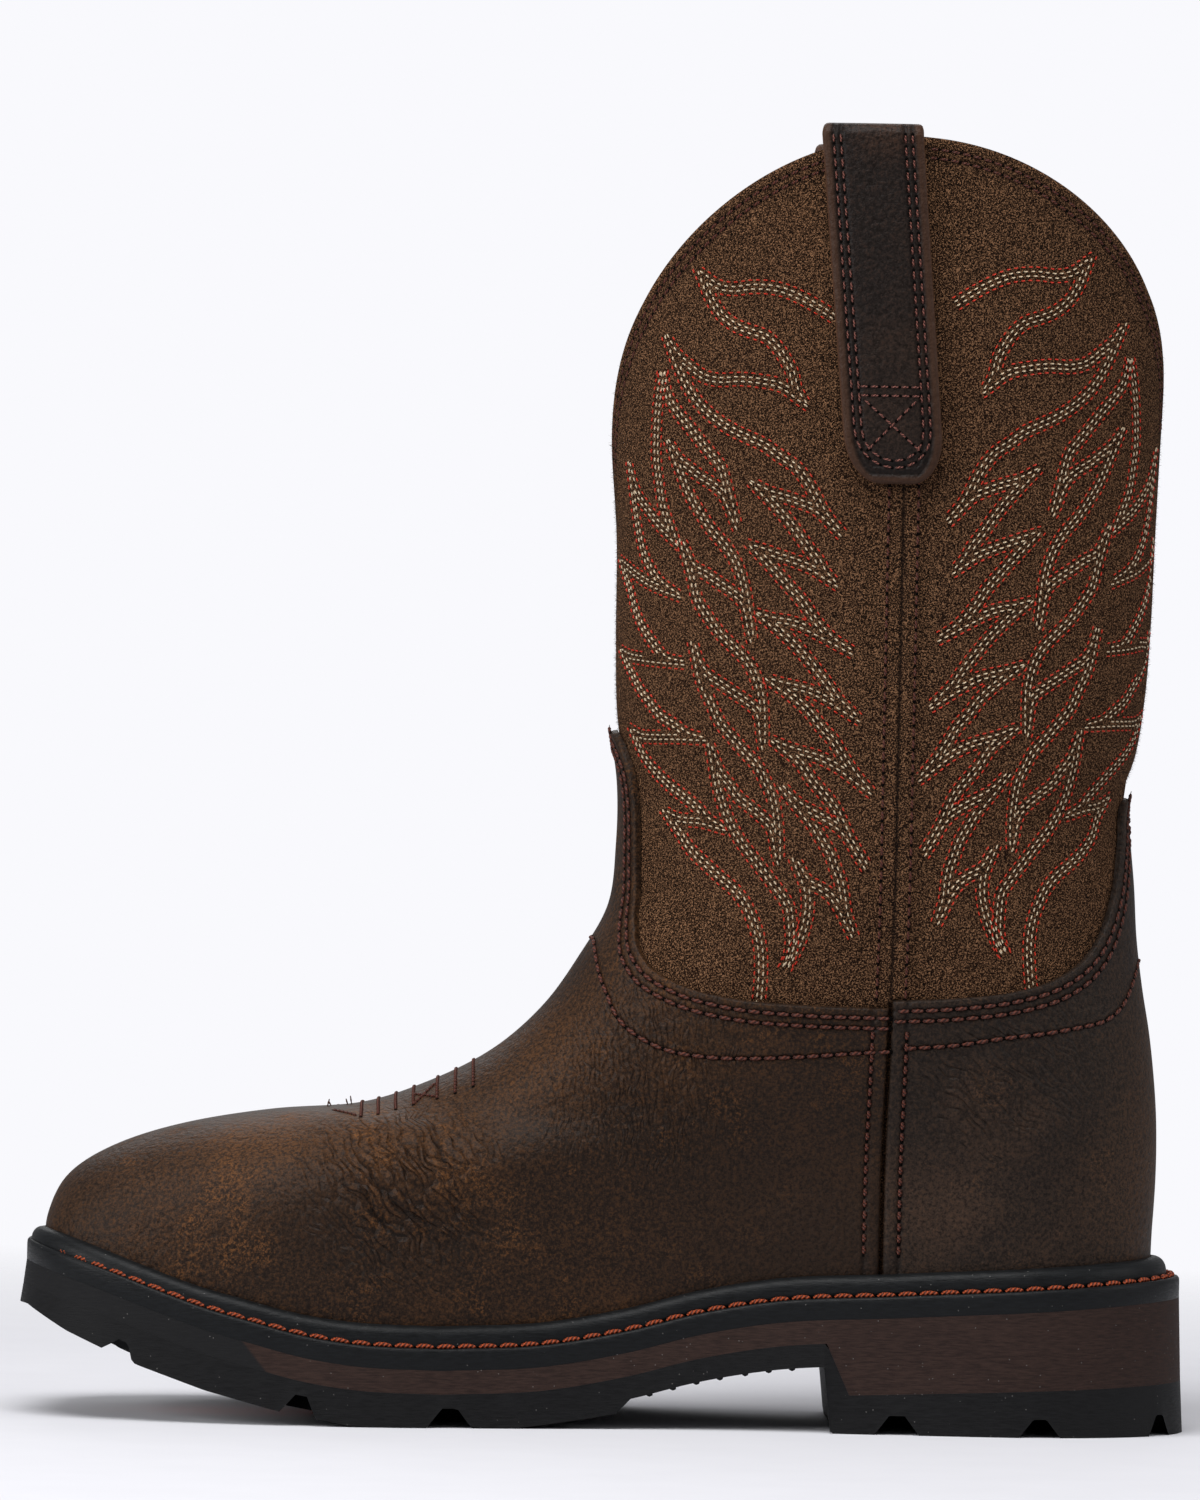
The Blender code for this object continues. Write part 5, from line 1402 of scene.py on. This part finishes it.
def strap_half(level):
    """Half-width of the strap: its width narrows a little downwards and closes in a rounded end."""
    low = COLLAR_HEIGHT - STRAP_DROP
    rise = np.clip((level - low) / (STRAP_WIDTH / 2), 0.0, 1.0)
    share = np.clip((level - low) / STRAP_DROP, 0.0, 1.0)
    width = STRAP_END_WIDTH + (STRAP_WIDTH - STRAP_END_WIDTH) * share
    return width / 2 * (0.30 + 0.70 * quarter_circle(rise))


def make_strap(name, seam):
    stand = SEAM_RIDGE + GAP
    low = COLLAR_HEIGHT - STRAP_DROP
    outside = np.concatenate((low + STRAP_WIDTH / 2 * (1 - np.cos(np.linspace(0.0, math.pi / 2, 22))),
                              np.linspace(low + STRAP_WIDTH / 2, COLLAR_HEIGHT, 60)[1:]))
    angles = np.linspace(0.0, math.pi, 15)[1:-1]
    inside = np.linspace(COLLAR_HEIGHT, COLLAR_HEIGHT - STRAP_INNER_DROP, 24)
    level = np.concatenate((outside, np.full(len(angles), COLLAR_HEIGHT), inside))
    turn = np.concatenate((np.zeros(len(outside)), angles, np.full(len(inside), math.pi)))
    middle, radius = (stand - WALL - GAP) / 2, (stand + WALL + GAP) / 2
    half = strap_half(level)
    end = np.minimum(1.0, travel_along(level[:, None]) / STRAP_EDGE_ROUND)
    sheets = []
    for thick in (STRAP_THICKNESS, 0.0):
        off = half[:, None] * STRAP_ACROSS
        levels = np.broadcast_to(level[:, None], off.shape)
        height, girth = strap_place(seam, levels.ravel(), off.ravel())
        edge = np.minimum((1 - np.abs(STRAP_ACROSS)) * half[:, None] / STRAP_EDGE_ROUND, end[:, None])
        round_off = 0.45 * STRAP_THICKNESS * (1 - quarter_circle(edge))
        away = thick - round_off if thick else thick + round_off
        lift = middle + (radius + away) * np.cos(turn)[:, None]
        points = form.at(height, girth, lift.ravel()).reshape(*off.shape, 3)
        points[..., 2] += (STRAP_CLEARANCE + GAP + away) * np.sin(turn)[:, None]
        sheets.append(points)
    edge_distance = (1 - np.abs(STRAP_ACROSS)) * half[:, None] + np.zeros(off.shape)
    edge_distance = np.minimum(edge_distance,
                               np.where(turn > 0, 9.0, (level - low) * 0.9 + 0.0005)[:, None])
    return piece(name + "_leather", np.concatenate(sheets), shell_quads(*off.shape), STRAP_FINISH,
                 (name,),
                 {"edge_distance": np.concatenate((edge_distance, edge_distance))})


make_strap("pull_strap_medial", 1.0)
make_strap("pull_strap_lateral", 3.0)

# %% [markdown]
# ## Thread
# Thousands of stitches would be heavy as curves, so a stitch is one small lens of a few dozen faces, and
# all stitches of a row are one array: template times length, width and height along three axes.

# %% Stitch shapes
def stitch_template(rings, sides, turns, lobes=0.0):
    """A closed lens along x with the strand attribute: radius (1 - t^4)^(1/2) at t from -1 to 1, times
    1 + lobes cos(2 (angle - twist)), which gives two strands twisted about each other."""
    t = np.linspace(-1, 1, rings + 2)[1:-1]
    angle = np.linspace(0, 2 * math.pi, sides, endpoint=False) - math.pi / 2
    lobed = 1 - lobes + lobes * np.cos(2 * (angle - t[:, None] * turns * math.pi))
    radius = np.sqrt(1 - t**4)[:, None] * lobed
    body = np.stack(np.broadcast_arrays(t[:, None], radius * np.cos(angle), radius * np.sin(angle)),
                    axis=-1)
    points = np.concatenate(([[-1.0, 0, 0]], body.reshape(-1, 3), [[1.0, 0, 0]]))
    twist = t[:, None] * turns + np.linspace(0, 2, sides, endpoint=False)
    strand = np.concatenate(([-turns], twist.ravel(), [turns]))
    quads = grid_quads(rings, sides, False, True) + 1
    here, after = np.arange(sides), (np.arange(sides) + 1) % sides
    last = 1 + (rings - 1) * sides
    start = np.stack((np.zeros(sides, int), 1 + after, 1 + here), axis=1)
    end = np.stack((np.full(sides, len(points) - 1), last + here, last + after), axis=1)
    faces = np.concatenate((start, quads[:, :3], quads[:, (0, 2, 3)], end))
    return points, faces, strand


def make_stitches(name, starts, ends, normals, width, thick, thread, slot, shape, arch=0.0):
    """One lens for each stitch from starts to ends, flattened against the surface and bowed by arch."""
    points, faces, strand = shape
    middle, along = (starts + ends) / 2, unit(ends - starts)
    across = unit(np.cross(normals, along))
    up = np.cross(along, across)
    half = np.linalg.norm(ends - starts, axis=1)[:, None, None] / 2
    x, y, z = (points[None, :, axis:axis + 1] for axis in range(3))
    local = x * half * along[:, None] + y * width / 2 * across[:, None]
    local = local + (z * thick / 2 + arch * (1 - x**2)) * up[:, None]
    every = middle[:, None] + local
    count = len(points)
    joined = (faces[None] + np.arange(len(middle))[:, None, None] * count).reshape(-1, 3)
    return piece(name, every, joined, thread, (), {"strand": np.tile(strand, len(middle))})


def sew(line_height, line_girth, pitch, length, lift):
    """Ends and normals of stitches at a pitch along a line of the form."""
    line = form.at(line_height, line_girth)
    travel = travel_along(line)
    count = max(1, int(travel[-1] / pitch))
    at = (np.arange(count) + 0.5) * pitch
    ends = []
    for place in (at - length / 2, at + length / 2, at):
        place = np.clip(place, 0.0, travel[-1])
        height, girth = np.interp(place, travel, line_height), np.interp(place, travel, line_girth)
        ends.append((form.at(height, girth, lift), form.normal(height, girth)))
    return ends[0][0], ends[1][0], ends[2][1]


def inset(height, girth, distance):
    """A line moved within the surface towards its lower side, by short steps settled on the form."""
    steps = max(1, math.ceil(distance / 0.002))
    for _ in range(steps):
        line = form.at(height, girth)
        inward = np.cross(form.normal(height, girth), unit(np.gradient(line, axis=0)))
        inward = inward * np.where(inward[..., 2:3].mean() > 0, -1.0, 1.0)
        height, girth = form.settle(height, girth, line + unit(inward) * distance / steps)
    return height, girth


def gather(rows):
    """Joins the starts, ends and normals of several rows of stitches."""
    return [np.concatenate([row[index] for row in rows]) for index in range(3)]


def sew_rows(name, rows, width, thick, hole, thread, arch=0.0):
    """Rows of stitches, and the painted shade of the needle hole where each one dives: a flat dark lens at
    its start.
    """
    starts, ends, normals = gather(rows)
    make_stitches(name + "_stitches", starts, ends, normals, width, thick, thread, "strap_leather",
                  LEATHER_STITCH, arch)
    along = unit(ends - starts)
    middle = starts - along * 0.0002 - normals * 0.00002
    make_stitches(name + "_hole_shade", middle - along * hole * 0.6, middle + along * hole * 0.6, normals,
                  hole, HOLE_THICKNESS, HOLE_SHADE_FINISH, "strap_leather", SMALL_STITCH)


def seam_rows(levels, off, pitch, length, lift):
    """Rows up both sides of each side seam, at a distance off it."""
    rows = []
    for seam in (1.0, 3.0):
        for way in (-1.0, 1.0):
            height = form.height_of(levels, np.full(len(levels), seam))
            girth = seam + way * off / form.length(height, seam + way * 0.5)
            rows.append(sew(form.height_of(levels, girth), girth, pitch, length, lift))
    return rows


HOLE_THICKNESS = 0.00022
SMALL_STITCH = stitch_template(3, 5, 0.5)
LEATHER_STITCH = stitch_template(7, 8, 1.1, 0.16)
ROPE_STITCH = stitch_template(13, 12, 2.1, 0.18)
# A flat near-black lens is painted shade inside each needle hole.
HOLE_SHADE_FINISH = finish("needle_hole_shade", 0.9, 0.05, Base_Color=(0.0016, 0.0012, 0.0010, 1.0))[0]

make_studs()
make_insert()

# %% Rows on the collar and the overlays
# Pitch and length of the stitches of each kind of row, in metres.
COLLAR_SEWING = (0.0029, 0.0022)
OVERLAY_SEWING = (0.0037, 0.0033)
SIDE_SEWING = (0.0030, 0.0022)
SHAFT_SEWING = (0.0031, 0.0023)
SEAM_ROW_LEVELS = (0.046, 0.1075)
# Width and thickness of the thread, and the width of its needle holes.
FINE_THREAD = (0.0008, 0.0006, 0.0008)
HEAVY_THREAD = (0.00115, 0.0010, 0.0011)
LEATHER_LIFT = GAP + OVERLAY + 0.00005

collar_rows = []
for distance in COLLAR_ROWS:
    for first in (0, 1, 2, 3):
        height, girth = trace(collar_level, first, first + 1, 200)
        share = quarter_share(girth)
        keep = (share > 0.02) & (share < 0.995)
        height, girth = inset(height[keep], girth[keep], distance)
        collar_rows.append(sew(height, girth, *COLLAR_SEWING, 0.0))
sew_rows("collar", collar_rows, *FINE_THREAD, BROWN_THREAD)

overlay_rows = []
for first, last in ((1, 3), (3, 5)):
    height, girth = trace(overlay_level, first, last, 400)
    for distance in OVERLAY_ROWS:
        overlay_rows.append(sew(*inset(height, girth, distance), *OVERLAY_SEWING, LEATHER_LIFT))

for height, side in third_lines:
    overlay_rows.append(sew(height, side, *OVERLAY_SEWING, LEATHER_LIFT))
overlay_rows += seam_rows(np.linspace(*SEAM_ROW_LEVELS, 60), SEAM_ROW + SEAM_GROOVE / 2, *SIDE_SEWING,
                          LEATHER_LIFT)
sew_rows("overlay", overlay_rows, *HEAVY_THREAD, BROWN_THREAD, 0.00010)

# %% Rows beside the side seams of the shaft
SHAFT_ROW = 0.0038
shaft_levels = np.linspace(OVERLAY_SIDE_HEIGHT + 0.002, COLLAR_HEIGHT - STRAP_DROP + 0.004, 90)
shaft_rows = seam_rows(shaft_levels, SHAFT_ROW, *SHAFT_SEWING, SEAM_RIDGE + 0.00015)
sew_rows("side_seam", shaft_rows, *FINE_THREAD, BROWN_THREAD)

# %% Lockstitch of the welt
ROPE_PITCH = 0.0055
ROPE_REACH = 0.46
ROPE_RAISE = 0.0003
ROPE_DIVE = 0.0002
ROPE_WIDTH = 0.0016
ROPE_THICKNESS = 0.0013
ROPE_BOW = 0.0004
girths = np.linspace(0.0, 4.0, 4001)
rope = outline(girths, STITCH_OFFSET)
rope[:, 2] = ledge_height(rope[:, 0]) + ROPE_RAISE
travel = travel_along(rope)
count = int(travel[-1] / ROPE_PITCH)
at = (np.arange(count) + 0.5) * travel[-1] / count
starts, ends = (read_at(at + shift * ROPE_PITCH, travel, rope) for shift in (-ROPE_REACH, ROPE_REACH))
outward = read_at(at, travel, around(SEAT_NORMALS, girths))
starts = starts - outward * ROPE_RAISE - np.array((0, 0, ROPE_DIVE))
ends = ends + outward * ROPE_DIVE
upward = unit(np.tile((0.0, 0.0, 1.0), (count, 1)) + outward * 0.5)
make_stitches("welt_lockstitch", starts, ends, upward, ROPE_WIDTH, ROPE_THICKNESS, WELT_THREAD,
              "strap_leather", ROPE_STITCH, ROPE_BOW)

# %% Rows on the straps
def strap_line(seam, levels, offs, lift):
    height, girth = strap_place(seam, levels, offs)
    return form.at(height, girth, lift), form.normal(height, girth)


def sew_points(points, normals, pitch, length):
    """Stitches at a pitch along a line of points."""
    travel = travel_along(points)
    count = max(1, round(travel[-1] / pitch))
    at = (np.arange(count) + 0.5) * travel[-1] / count
    starts, ends = (read_at(place, travel, points) for place in (at - length / 2, at + length / 2))
    return starts, ends, unit(read_at(at, travel, normals))


STRAP_SEWING = (0.0032, 0.0022)
BOX_SEWING = (0.0027, 0.0020)
CROSS_SEWING = (0.0026, 0.0019)
STRAP_THREAD_SIZES = (0.00062, 0.0006, 0.0008)
strap_rows = []
strap_low = COLLAR_HEIGHT - STRAP_DROP
STRAP_LIFT = SEAM_RIDGE + GAP + STRAP_THICKNESS + 0.00005
BOX_TOP = strap_low + 0.0250
for seam in (1.0, 3.0):
    for distance in STRAP_ROWS:
        radius = STRAP_END_WIDTH / 2 - distance
        bend = np.linspace(-math.pi / 2, math.pi / 2, 40)
        arc_level = strap_low + 0.0042 + (distance - STRAP_ROWS[0]) + radius * (1 - np.cos(bend))
        arc_off = radius * np.sin(bend)
        side_level = np.linspace(arc_level[-1], COLLAR_HEIGHT + 0.0005, 80)[1:]
        side_off = strap_half(side_level) - distance
        levels = np.concatenate((side_level[::-1], arc_level, side_level))
        offs = np.concatenate((-side_off[::-1], arc_off, side_off))
        strap_rows.append(sew_points(*strap_line(seam, levels, offs, STRAP_LIFT), *STRAP_SEWING))
    reach = STRAP_END_WIDTH / 2 - STRAP_ROWS[1]
    for level in (BOX_TOP, BOX_TOP - 0.0023):
        offs = np.linspace(-reach, reach, 20)
        strap_rows.append(sew_points(*strap_line(seam, np.full(20, level), offs, STRAP_LIFT), *BOX_SEWING))
    for way in (-1.0, 1.0):
        offs = np.linspace(-reach + 0.001, reach - 0.001, 20) * way
        levels = np.linspace(strap_low + 0.0085, BOX_TOP - 0.0033, 20)
        strap_rows.append(sew_points(*strap_line(seam, levels, offs, STRAP_LIFT), *CROSS_SEWING))
sew_rows("strap", strap_rows, *STRAP_THREAD_SIZES, STRAP_THREAD)

# %% [markdown]
# ## The flame pattern
# Western shafts carry rows of bright stitching. Here three zigzag lines run down each half of the shaft,
# each as a bundle of four rows: two cream in the middle and a red one on either side. A chart row is one
# stroke from a point of the flame to the next. The rows of a stroke are moved sideways in a flat copy of
# the shaft, cut at the bisector of each point so that they meet there, and laid back on the form.

# %% Chart of the flames
FLAME_OUTER = """
59,692 75,702 95,713 112,720 130,723 145,723 160,721 175,723 193,735
183,710 173,695 160,685 145,679 130,674 117,662 109,650 103,638 98,618 93,610
115,625 135,629 155,631 175,630 190,633 205,644 220,658 225,667
215,640 205,620 195,606 180,592 160,579 145,572 130,565 115,554 100,544 90,532 80,515 69,494 59,482
80,502 95,508 110,513 125,517 137,523
120,505 107,490 95,474 85,460 77,450 71,438 64,430
83,442 100,449 115,454 130,459 140,462
120,440 105,423 92,408 80,390 70,378 62,370 50,362
80,378 95,385 110,389 120,390 131,393
110,375 95,360 80,342 67,325 57,310 50,303 42,295
70,312 87,320 100,323 110,325 121,328
100,312 85,298 73,282 62,270 53,255 40,235 30,223
60,245 77,253 95,258 105,261 115,265
95,248 83,230 70,215 60,202 52,185 45,170 33,150
55,182 67,190 80,197 90,202 98,207 108,217
90,195 80,182 73,170 65,157 59,140 55,130 52,115 50,98 45,82
57,105 67,117 77,123 87,128 97,144
88,120 87,105 90,85 95,70 102,55 112,38
"""
FLAME_MIDDLE = """
232,640 227,615 217,598 205,583 195,570 183,555 175,545 170,530 165,510 160,490
173,518 185,528 195,534 205,542 215,550 223,562
211,530 205,515 195,498 183,480 170,465 160,450 154,435 150,420 147,400 144,377
153,410 165,420 177,428 190,437 200,442 211,463
202,430 197,410 188,395 175,377 160,362 147,348 138,330 133,310 132,290 132,270
138,300 150,310 162,318 175,327 187,335 195,345 200,360
192,325 185,310 175,288 162,272 150,258 138,245 130,230 123,215 119,195 117,175 117,155
125,185 135,195 147,205 157,213 165,225 175,238 183,258
176,220 170,200 162,182 153,167 140,150 127,133 115,117 107,105 104,85 103,70 105,55 112,38
"""
FLAME_INNER = """
232,640 236,610 238,580 238,550 235,525 232,505 227,490 220,470
235,485 245,498 255,513 260,525 264,540
259,500 255,475 250,455 243,440 235,428 221,417
245,427 260,437 267,443 273,448
264,420 259,400 250,380 240,365 227,350 218,348
240,350 255,352 265,354 272,358
263,338 255,322 245,308 235,295 220,285 207,275 197,272
220,273 240,273 253,274 262,279
250,253 240,240 225,225 210,213 195,200 187,190 177,184
195,189 210,190 220,192 227,196
215,178 205,162 190,147 175,133 160,120 150,107 143,92 137,75 134,55 134,35 135,20 137,2
"""
BACK_RAISE = 13.0
ROW_OFFSETS = ((-0.00175, "red"), (-0.0006, "cream"), (0.0006, "cream"), (0.00175, "red"))
FLAME_PITCH = 0.00205
FLAME_STITCH = 0.00132
FLAME_THREAD = (0.00040, 0.00038)
FLAME_BOW = 0.00012
TIP_REACH = 0.0030


# %% Strokes in the flat copy of the shaft
def flat_strokes(text, back):
    """Strokes of a line in flat coordinates: length round the shaft from the side seam, and level."""
    rows, start = [], None
    for squares in chart_points(text):
        squares = squares if start is None else np.concatenate((start[None], squares))
        start = squares[-1]
        rows.append(squares)
    lengths = [len(row) for row in rows]
    every = np.concatenate(rows)
    height, girth = on_form(every)
    girth = np.clip(girth, 1.0, 1.985)
    flat = np.stack(((girth - 1.0) * form.length(height, girth), form.at(height, girth)[:, 2]), axis=1)
    if back:
        height, girth = on_form(every * (-1.0, 1.0) + (0.0, BACK_RAISE), 0.6)
        reach = form.length(height, 0.5)
        turned_edge = smooth_step(0.40, 0.15, girth)
        mirrored = np.minimum(flat[:, 0], reach - 0.008)
        away = (1.0 - girth) * reach * (1 - turned_edge) + mirrored * turned_edge
        flat = np.stack((-away, form.at(height, girth)[:, 2]), axis=1)
    return np.split(flat, np.cumsum(lengths)[:-1])


def lay_back(flat):
    """Heights and girths of flat points: girth = 1 + length / quarter's length, found in four rounds."""
    girth = 1.0 + flat[:, 0] / 0.16
    for _ in range(4):
        height = form.height_of(flat[:, 1], girth)
        girth = 1.0 + flat[:, 0] / form.length(height, np.where(flat[:, 0] > 0, 1.5, 0.5))
    return height, girth


def offset_row(strokes, number, offset):
    """One row of a stroke: the stroke moved sideways, run on past its ends, and cut at both bisectors."""
    stroke = strokes[number]
    travel = travel_along(stroke)
    at = np.linspace(0.0, travel[-1], max(8, int(travel[-1] / 0.0005)))
    line = curve_at(at, travel, stroke)
    tangent = unit(np.gradient(line, axis=0))
    row = line + offset * np.stack((-tangent[:, 1], tangent[:, 0]), axis=1)
    run = np.linspace(0.0, TIP_REACH, 9)[1:, None]
    row = np.concatenate((row[0] - tangent[0] * run[::-1], row, row[-1] + tangent[-1] * run))
    keep = np.ones(len(row), bool)
    for beside, apex, mine in ((number - 1, line[0], tangent[0]), (number + 1, line[-1], -tangent[-1])):
        if 0 <= beside < len(strokes):
            other = strokes[beside]
            theirs = unit(other[-2] - other[-1]) if beside < number else unit(other[1] - other[0])
            axis = unit(mine + theirs)
            side = axis[0] * (row[:, 1] - apex[1]) - axis[1] * (row[:, 0] - apex[0])
            own = axis[0] * mine[1] - axis[1] * mine[0]
            near = np.linalg.norm(row - apex, axis=1) < 0.012
            keep &= ~near | (side * own >= 0)
        else:
            keep &= (row - apex) @ mine > -1e-6
    return row[keep]


# %% Sew the flames
def flame_rows():
    """Stitches of all flame rows on the medial side, by thread, as starts, ends and normals."""
    sewn = {"red": [], "cream": []}
    for back in (False, True):
        for text in (FLAME_OUTER, FLAME_MIDDLE, FLAME_INNER):
            strokes = flat_strokes(text, back)
            for number in range(len(strokes)):
                for offset, thread in ROW_OFFSETS:
                    row = offset_row(strokes, number, offset)
                    if len(row) > 4:
                        height, girth = lay_back(row)
                        sewn[thread].append(sew(height, girth, FLAME_PITCH, FLAME_STITCH, 0.00010))
    return {thread: gather(rows) for thread, rows in sewn.items()}


THREADS = {"red": RED_THREAD, "cream": CREAM_THREAD}
flames = flame_rows()
for side, mirror in (("medial", 1.0), ("lateral", -1.0)):
    for thread, (starts, ends, normals) in flames.items():
        flip = np.array((1.0, mirror, 1.0))
        make_stitches(f"flame_{thread}_{side}", starts * flip, ends * flip, normals * flip,
                      *FLAME_THREAD, THREADS[thread], "suede", SMALL_STITCH, FLAME_BOW)

# %% [markdown]
# ## Toe stitching
# Short bars of dark thread cross the vamp over the bend of the foot. They are rows sewn round the form
# between two girths on either side of the front centre.

# %% Toe bars
TOE_BARS = ((0.2066, 0.0030), (0.2021, 0.0034), (0.1974, 0.0036), (0.1926, 0.0040), (0.1863, 0.0048),
            (0.1815, 0.0054), (0.1768, 0.0060))
TOE_LINES = (((0.2140, 0.0008), (0.2066, 0.0030)), ((0.1926, 0.0040), (0.1863, 0.0010)),
             ((0.1926, 0.0016), (0.1863, 0.0044)))
TOE_SEWING = (0.0017, 0.0015)
TOE_THREAD_SIZES = (0.0010, 0.0009, 0.0010)


def below_top(place, drop):
    """Girth on the medial side at which the foot at a place lies a drop below its own top line."""
    turns = np.linspace(1.4, 2.0, 400)
    level = form.at(form.height_at_place(place, turns), turns)[:, 2]
    return float(np.interp(level[-1] - drop, level, turns))


bar_rows = []
for place, drop in TOE_BARS:
    start = below_top(place, drop)
    turns = np.linspace(start, 4.0 - start, 80)
    bar_rows.append(sew(form.height_at_place(place, turns), turns, *TOE_SEWING, LEATHER_LIFT))
for (place, drop), (last_place, last_drop) in TOE_LINES:
    share = np.linspace(0.0, 1.0, 20)
    turns = below_top(place, drop) * (1 - share) + below_top(last_place, last_drop) * share
    height = form.height_at_place(place + (last_place - place) * share, turns)
    for side in (turns, 4.0 - turns):
        bar_rows.append(sew(height, side, *TOE_SEWING, LEATHER_LIFT))
sew_rows("toe", bar_rows, *TOE_THREAD_SIZES, BROWN_THREAD)

TUFTS = ((0.2160, 0.0022, -0.25), (0.2105, 0.0018, 0.30), (0.2095, 0.0024, 0.15), (0.2150, 0.0014, 0.5))
tuft_girths = np.linspace(1.975, 1.99, len(TUFTS))
tuft_heights = form.height_at_place(column(TUFTS, 0), tuft_girths)
roots = form.at(tuft_heights, tuft_girths, GAP + OVERLAY - 0.0002)
tips = roots + np.array([(tuft[1] * tuft[2], 0.0, tuft[1]) for tuft in TUFTS])
make_stitches("toe_tufts", roots, tips, np.tile((0.0, 1.0, 0.0), (len(TUFTS), 1)), 0.00045, 0.00045,
              BROWN_THREAD, "strap_leather", LEATHER_STITCH)

# %% [markdown]
# ## Loose fibres
# Split leather never has a clean outline. Short hairs stand out of it all over the shaft, each a
# three-sided spike of four faces, joined into one mesh.

# %% Suede fibres
FIBRES = 26000
FIBRE_HALF_WIDTH = 0.000035


def make_fibres():
    random = np.random.default_rng(7)
    girth = random.uniform(0.0, 4.0, FIBRES)
    low, high = form.height_of(overlay_level(girth), girth), form.height_of(collar_level(girth), girth)
    height = low + random.uniform(0.0, 0.997, FIBRES) * (high - low)
    root, normal = form.at(height, girth, -0.00005), form.normal(height, girth)
    tangent = unit(np.cross(normal, random.normal(size=(FIBRES, 3))))
    lean = random.uniform(0.5, 1.8, (FIBRES, 1))
    tip = root + unit(normal + lean * tangent) * random.uniform(0.0005, 0.0013, (FIBRES, 1))
    across = np.cross(normal, tangent) * FIBRE_HALF_WIDTH
    points = np.stack((root - across, root + across, root + tangent * FIBRE_HALF_WIDTH * 2, tip), axis=1)
    faces = np.array(((0, 1, 3), (1, 2, 3), (2, 0, 3), (0, 2, 1)))
    joined = (faces[None] + 4 * np.arange(FIBRES)[:, None, None]).reshape(-1, 3)
    far = np.full(4 * FIBRES, FAR_AWAY)
    piece("suede_fibres", points, joined, SUEDE_FINISH, (),
          {"collar_distance": far, "seam_distance": far})


make_fibres()

# %% [markdown]
# ## Studio
# A pale floor fades into a pale background. Four round soft lights stand above, at the toe's side, at the
# heel's side and behind. The camera looks level at the medial side from half the boot's height.

# %% Floor, light and background
def make_floor():
    mesh = bpy.data.meshes.new("studio_floor")
    angle = np.linspace(0, 2 * math.pi, 96, endpoint=False)
    rings = np.concatenate([np.stack((r * np.cos(angle), r * np.sin(angle), 0 * angle), axis=1)
                            for r in (0.02, 0.3, 0.6, 0.9)])
    middle = np.concatenate((rings, [[0.0, 0.0, 0.0]]))
    quads = [tuple(q) for q in grid_quads(4, 96, False, True)]
    fan = [(len(rings), (n + 1) % 96, n) for n in range(96)]
    mesh.from_pydata(middle, [], quads + fan)
    made, tree, shader, where = finish("studio_floor", 0.85, 0.2)
    flat = add(tree, "VectorMath", {"operation": "LENGTH"}, i0=where).outputs["Value"]
    tree.links.new(remap(tree, flat, 0.85, 0.34), shader.inputs["Alpha"])
    grain = noise(tree, where, 40.0, 2.0, 0.5)
    tree.links.new(blend_colour(tree, grain, rgb(216, 216, 221), rgb(221, 221, 226)),
                   shader.inputs["Base Color"])
    mesh.materials.append(made)
    floor = place_object("studio_floor", mesh)


def make_light(name, place, aim, size, power):
    light = bpy.data.lights.new(name, "AREA")
    light.shape, light.size, light.energy = "DISK", size, power
    lamp = place_object(name, light)
    back = unit(np.array(place) - np.array(aim))
    right = unit(np.cross((0.0, 0.0, 1.0), back)) if abs(back[2]) < 0.99 else np.array((1.0, 0.0, 0.0))
    up = np.cross(back, right)
    matrix = np.eye(4)
    matrix[:3, 0], matrix[:3, 1], matrix[:3, 2], matrix[:3, 3] = right, up, back, place
    lamp.matrix_world = Matrix(matrix.tolist())


make_floor()
make_light("soft_top", (0.15, 0.60, 1.60), (0.0, 0.0, 0.05), 1.2, 23.0)
make_light("soft_toe_side", (1.50, 1.00, 0.80), (0.0, 0.0, 0.12), 0.9, 17.0)
make_light("soft_heel_side", (-1.50, 0.30, 0.80), (0.0, 0.0, 0.15), 0.9, 5.0)
make_light("soft_far_side", (0.10, -1.60, 1.10), (0.0, 0.0, 0.15), 1.2, 5.0)

world = bpy.data.worlds.new("studio")
bpy.context.scene.world = world
world.use_nodes = True
sky = world.node_tree
backdrop = sky.nodes["Background"]
seen = add(sky, "LightPath").outputs["Is Camera Ray"]
sky.links.new(blend_colour(sky, seen, (0.27, 0.27, 0.28), rgb(249, 249, 253)), backdrop.inputs["Color"])
bpy.context.scene.view_settings.view_transform = "Standard"

# %% Camera
LENS_SENSOR = 36.0
FRAME_HEIGHT = 0.3951
camera = bpy.data.cameras.new("side_view")
camera.sensor_fit = "VERTICAL"
camera.sensor_height = LENS_SENSOR
camera.sensor_width = LENS_SENSOR
camera.lens = LENS_SENSOR * EYE[1] / FRAME_HEIGHT
viewer = place_object("side_view", camera)
level, rise = math.cos(CHART_TILT), math.sin(CHART_TILT)
stand = EYE - SHIFT
viewer.matrix_world = Matrix(((-level, rise, 0.0, stand[0]), (0.0, 0.0, 1.0, stand[1]),
                              (rise, level, 0.0, stand[2]), (0.0, 0.0, 0.0, 1.0)))
bpy.context.scene.camera = viewer
print("camera at", np.round(stand, 4), "lens", round(camera.lens, 1), "mm")

# %% Update the scene
bpy.context.view_layer.update()
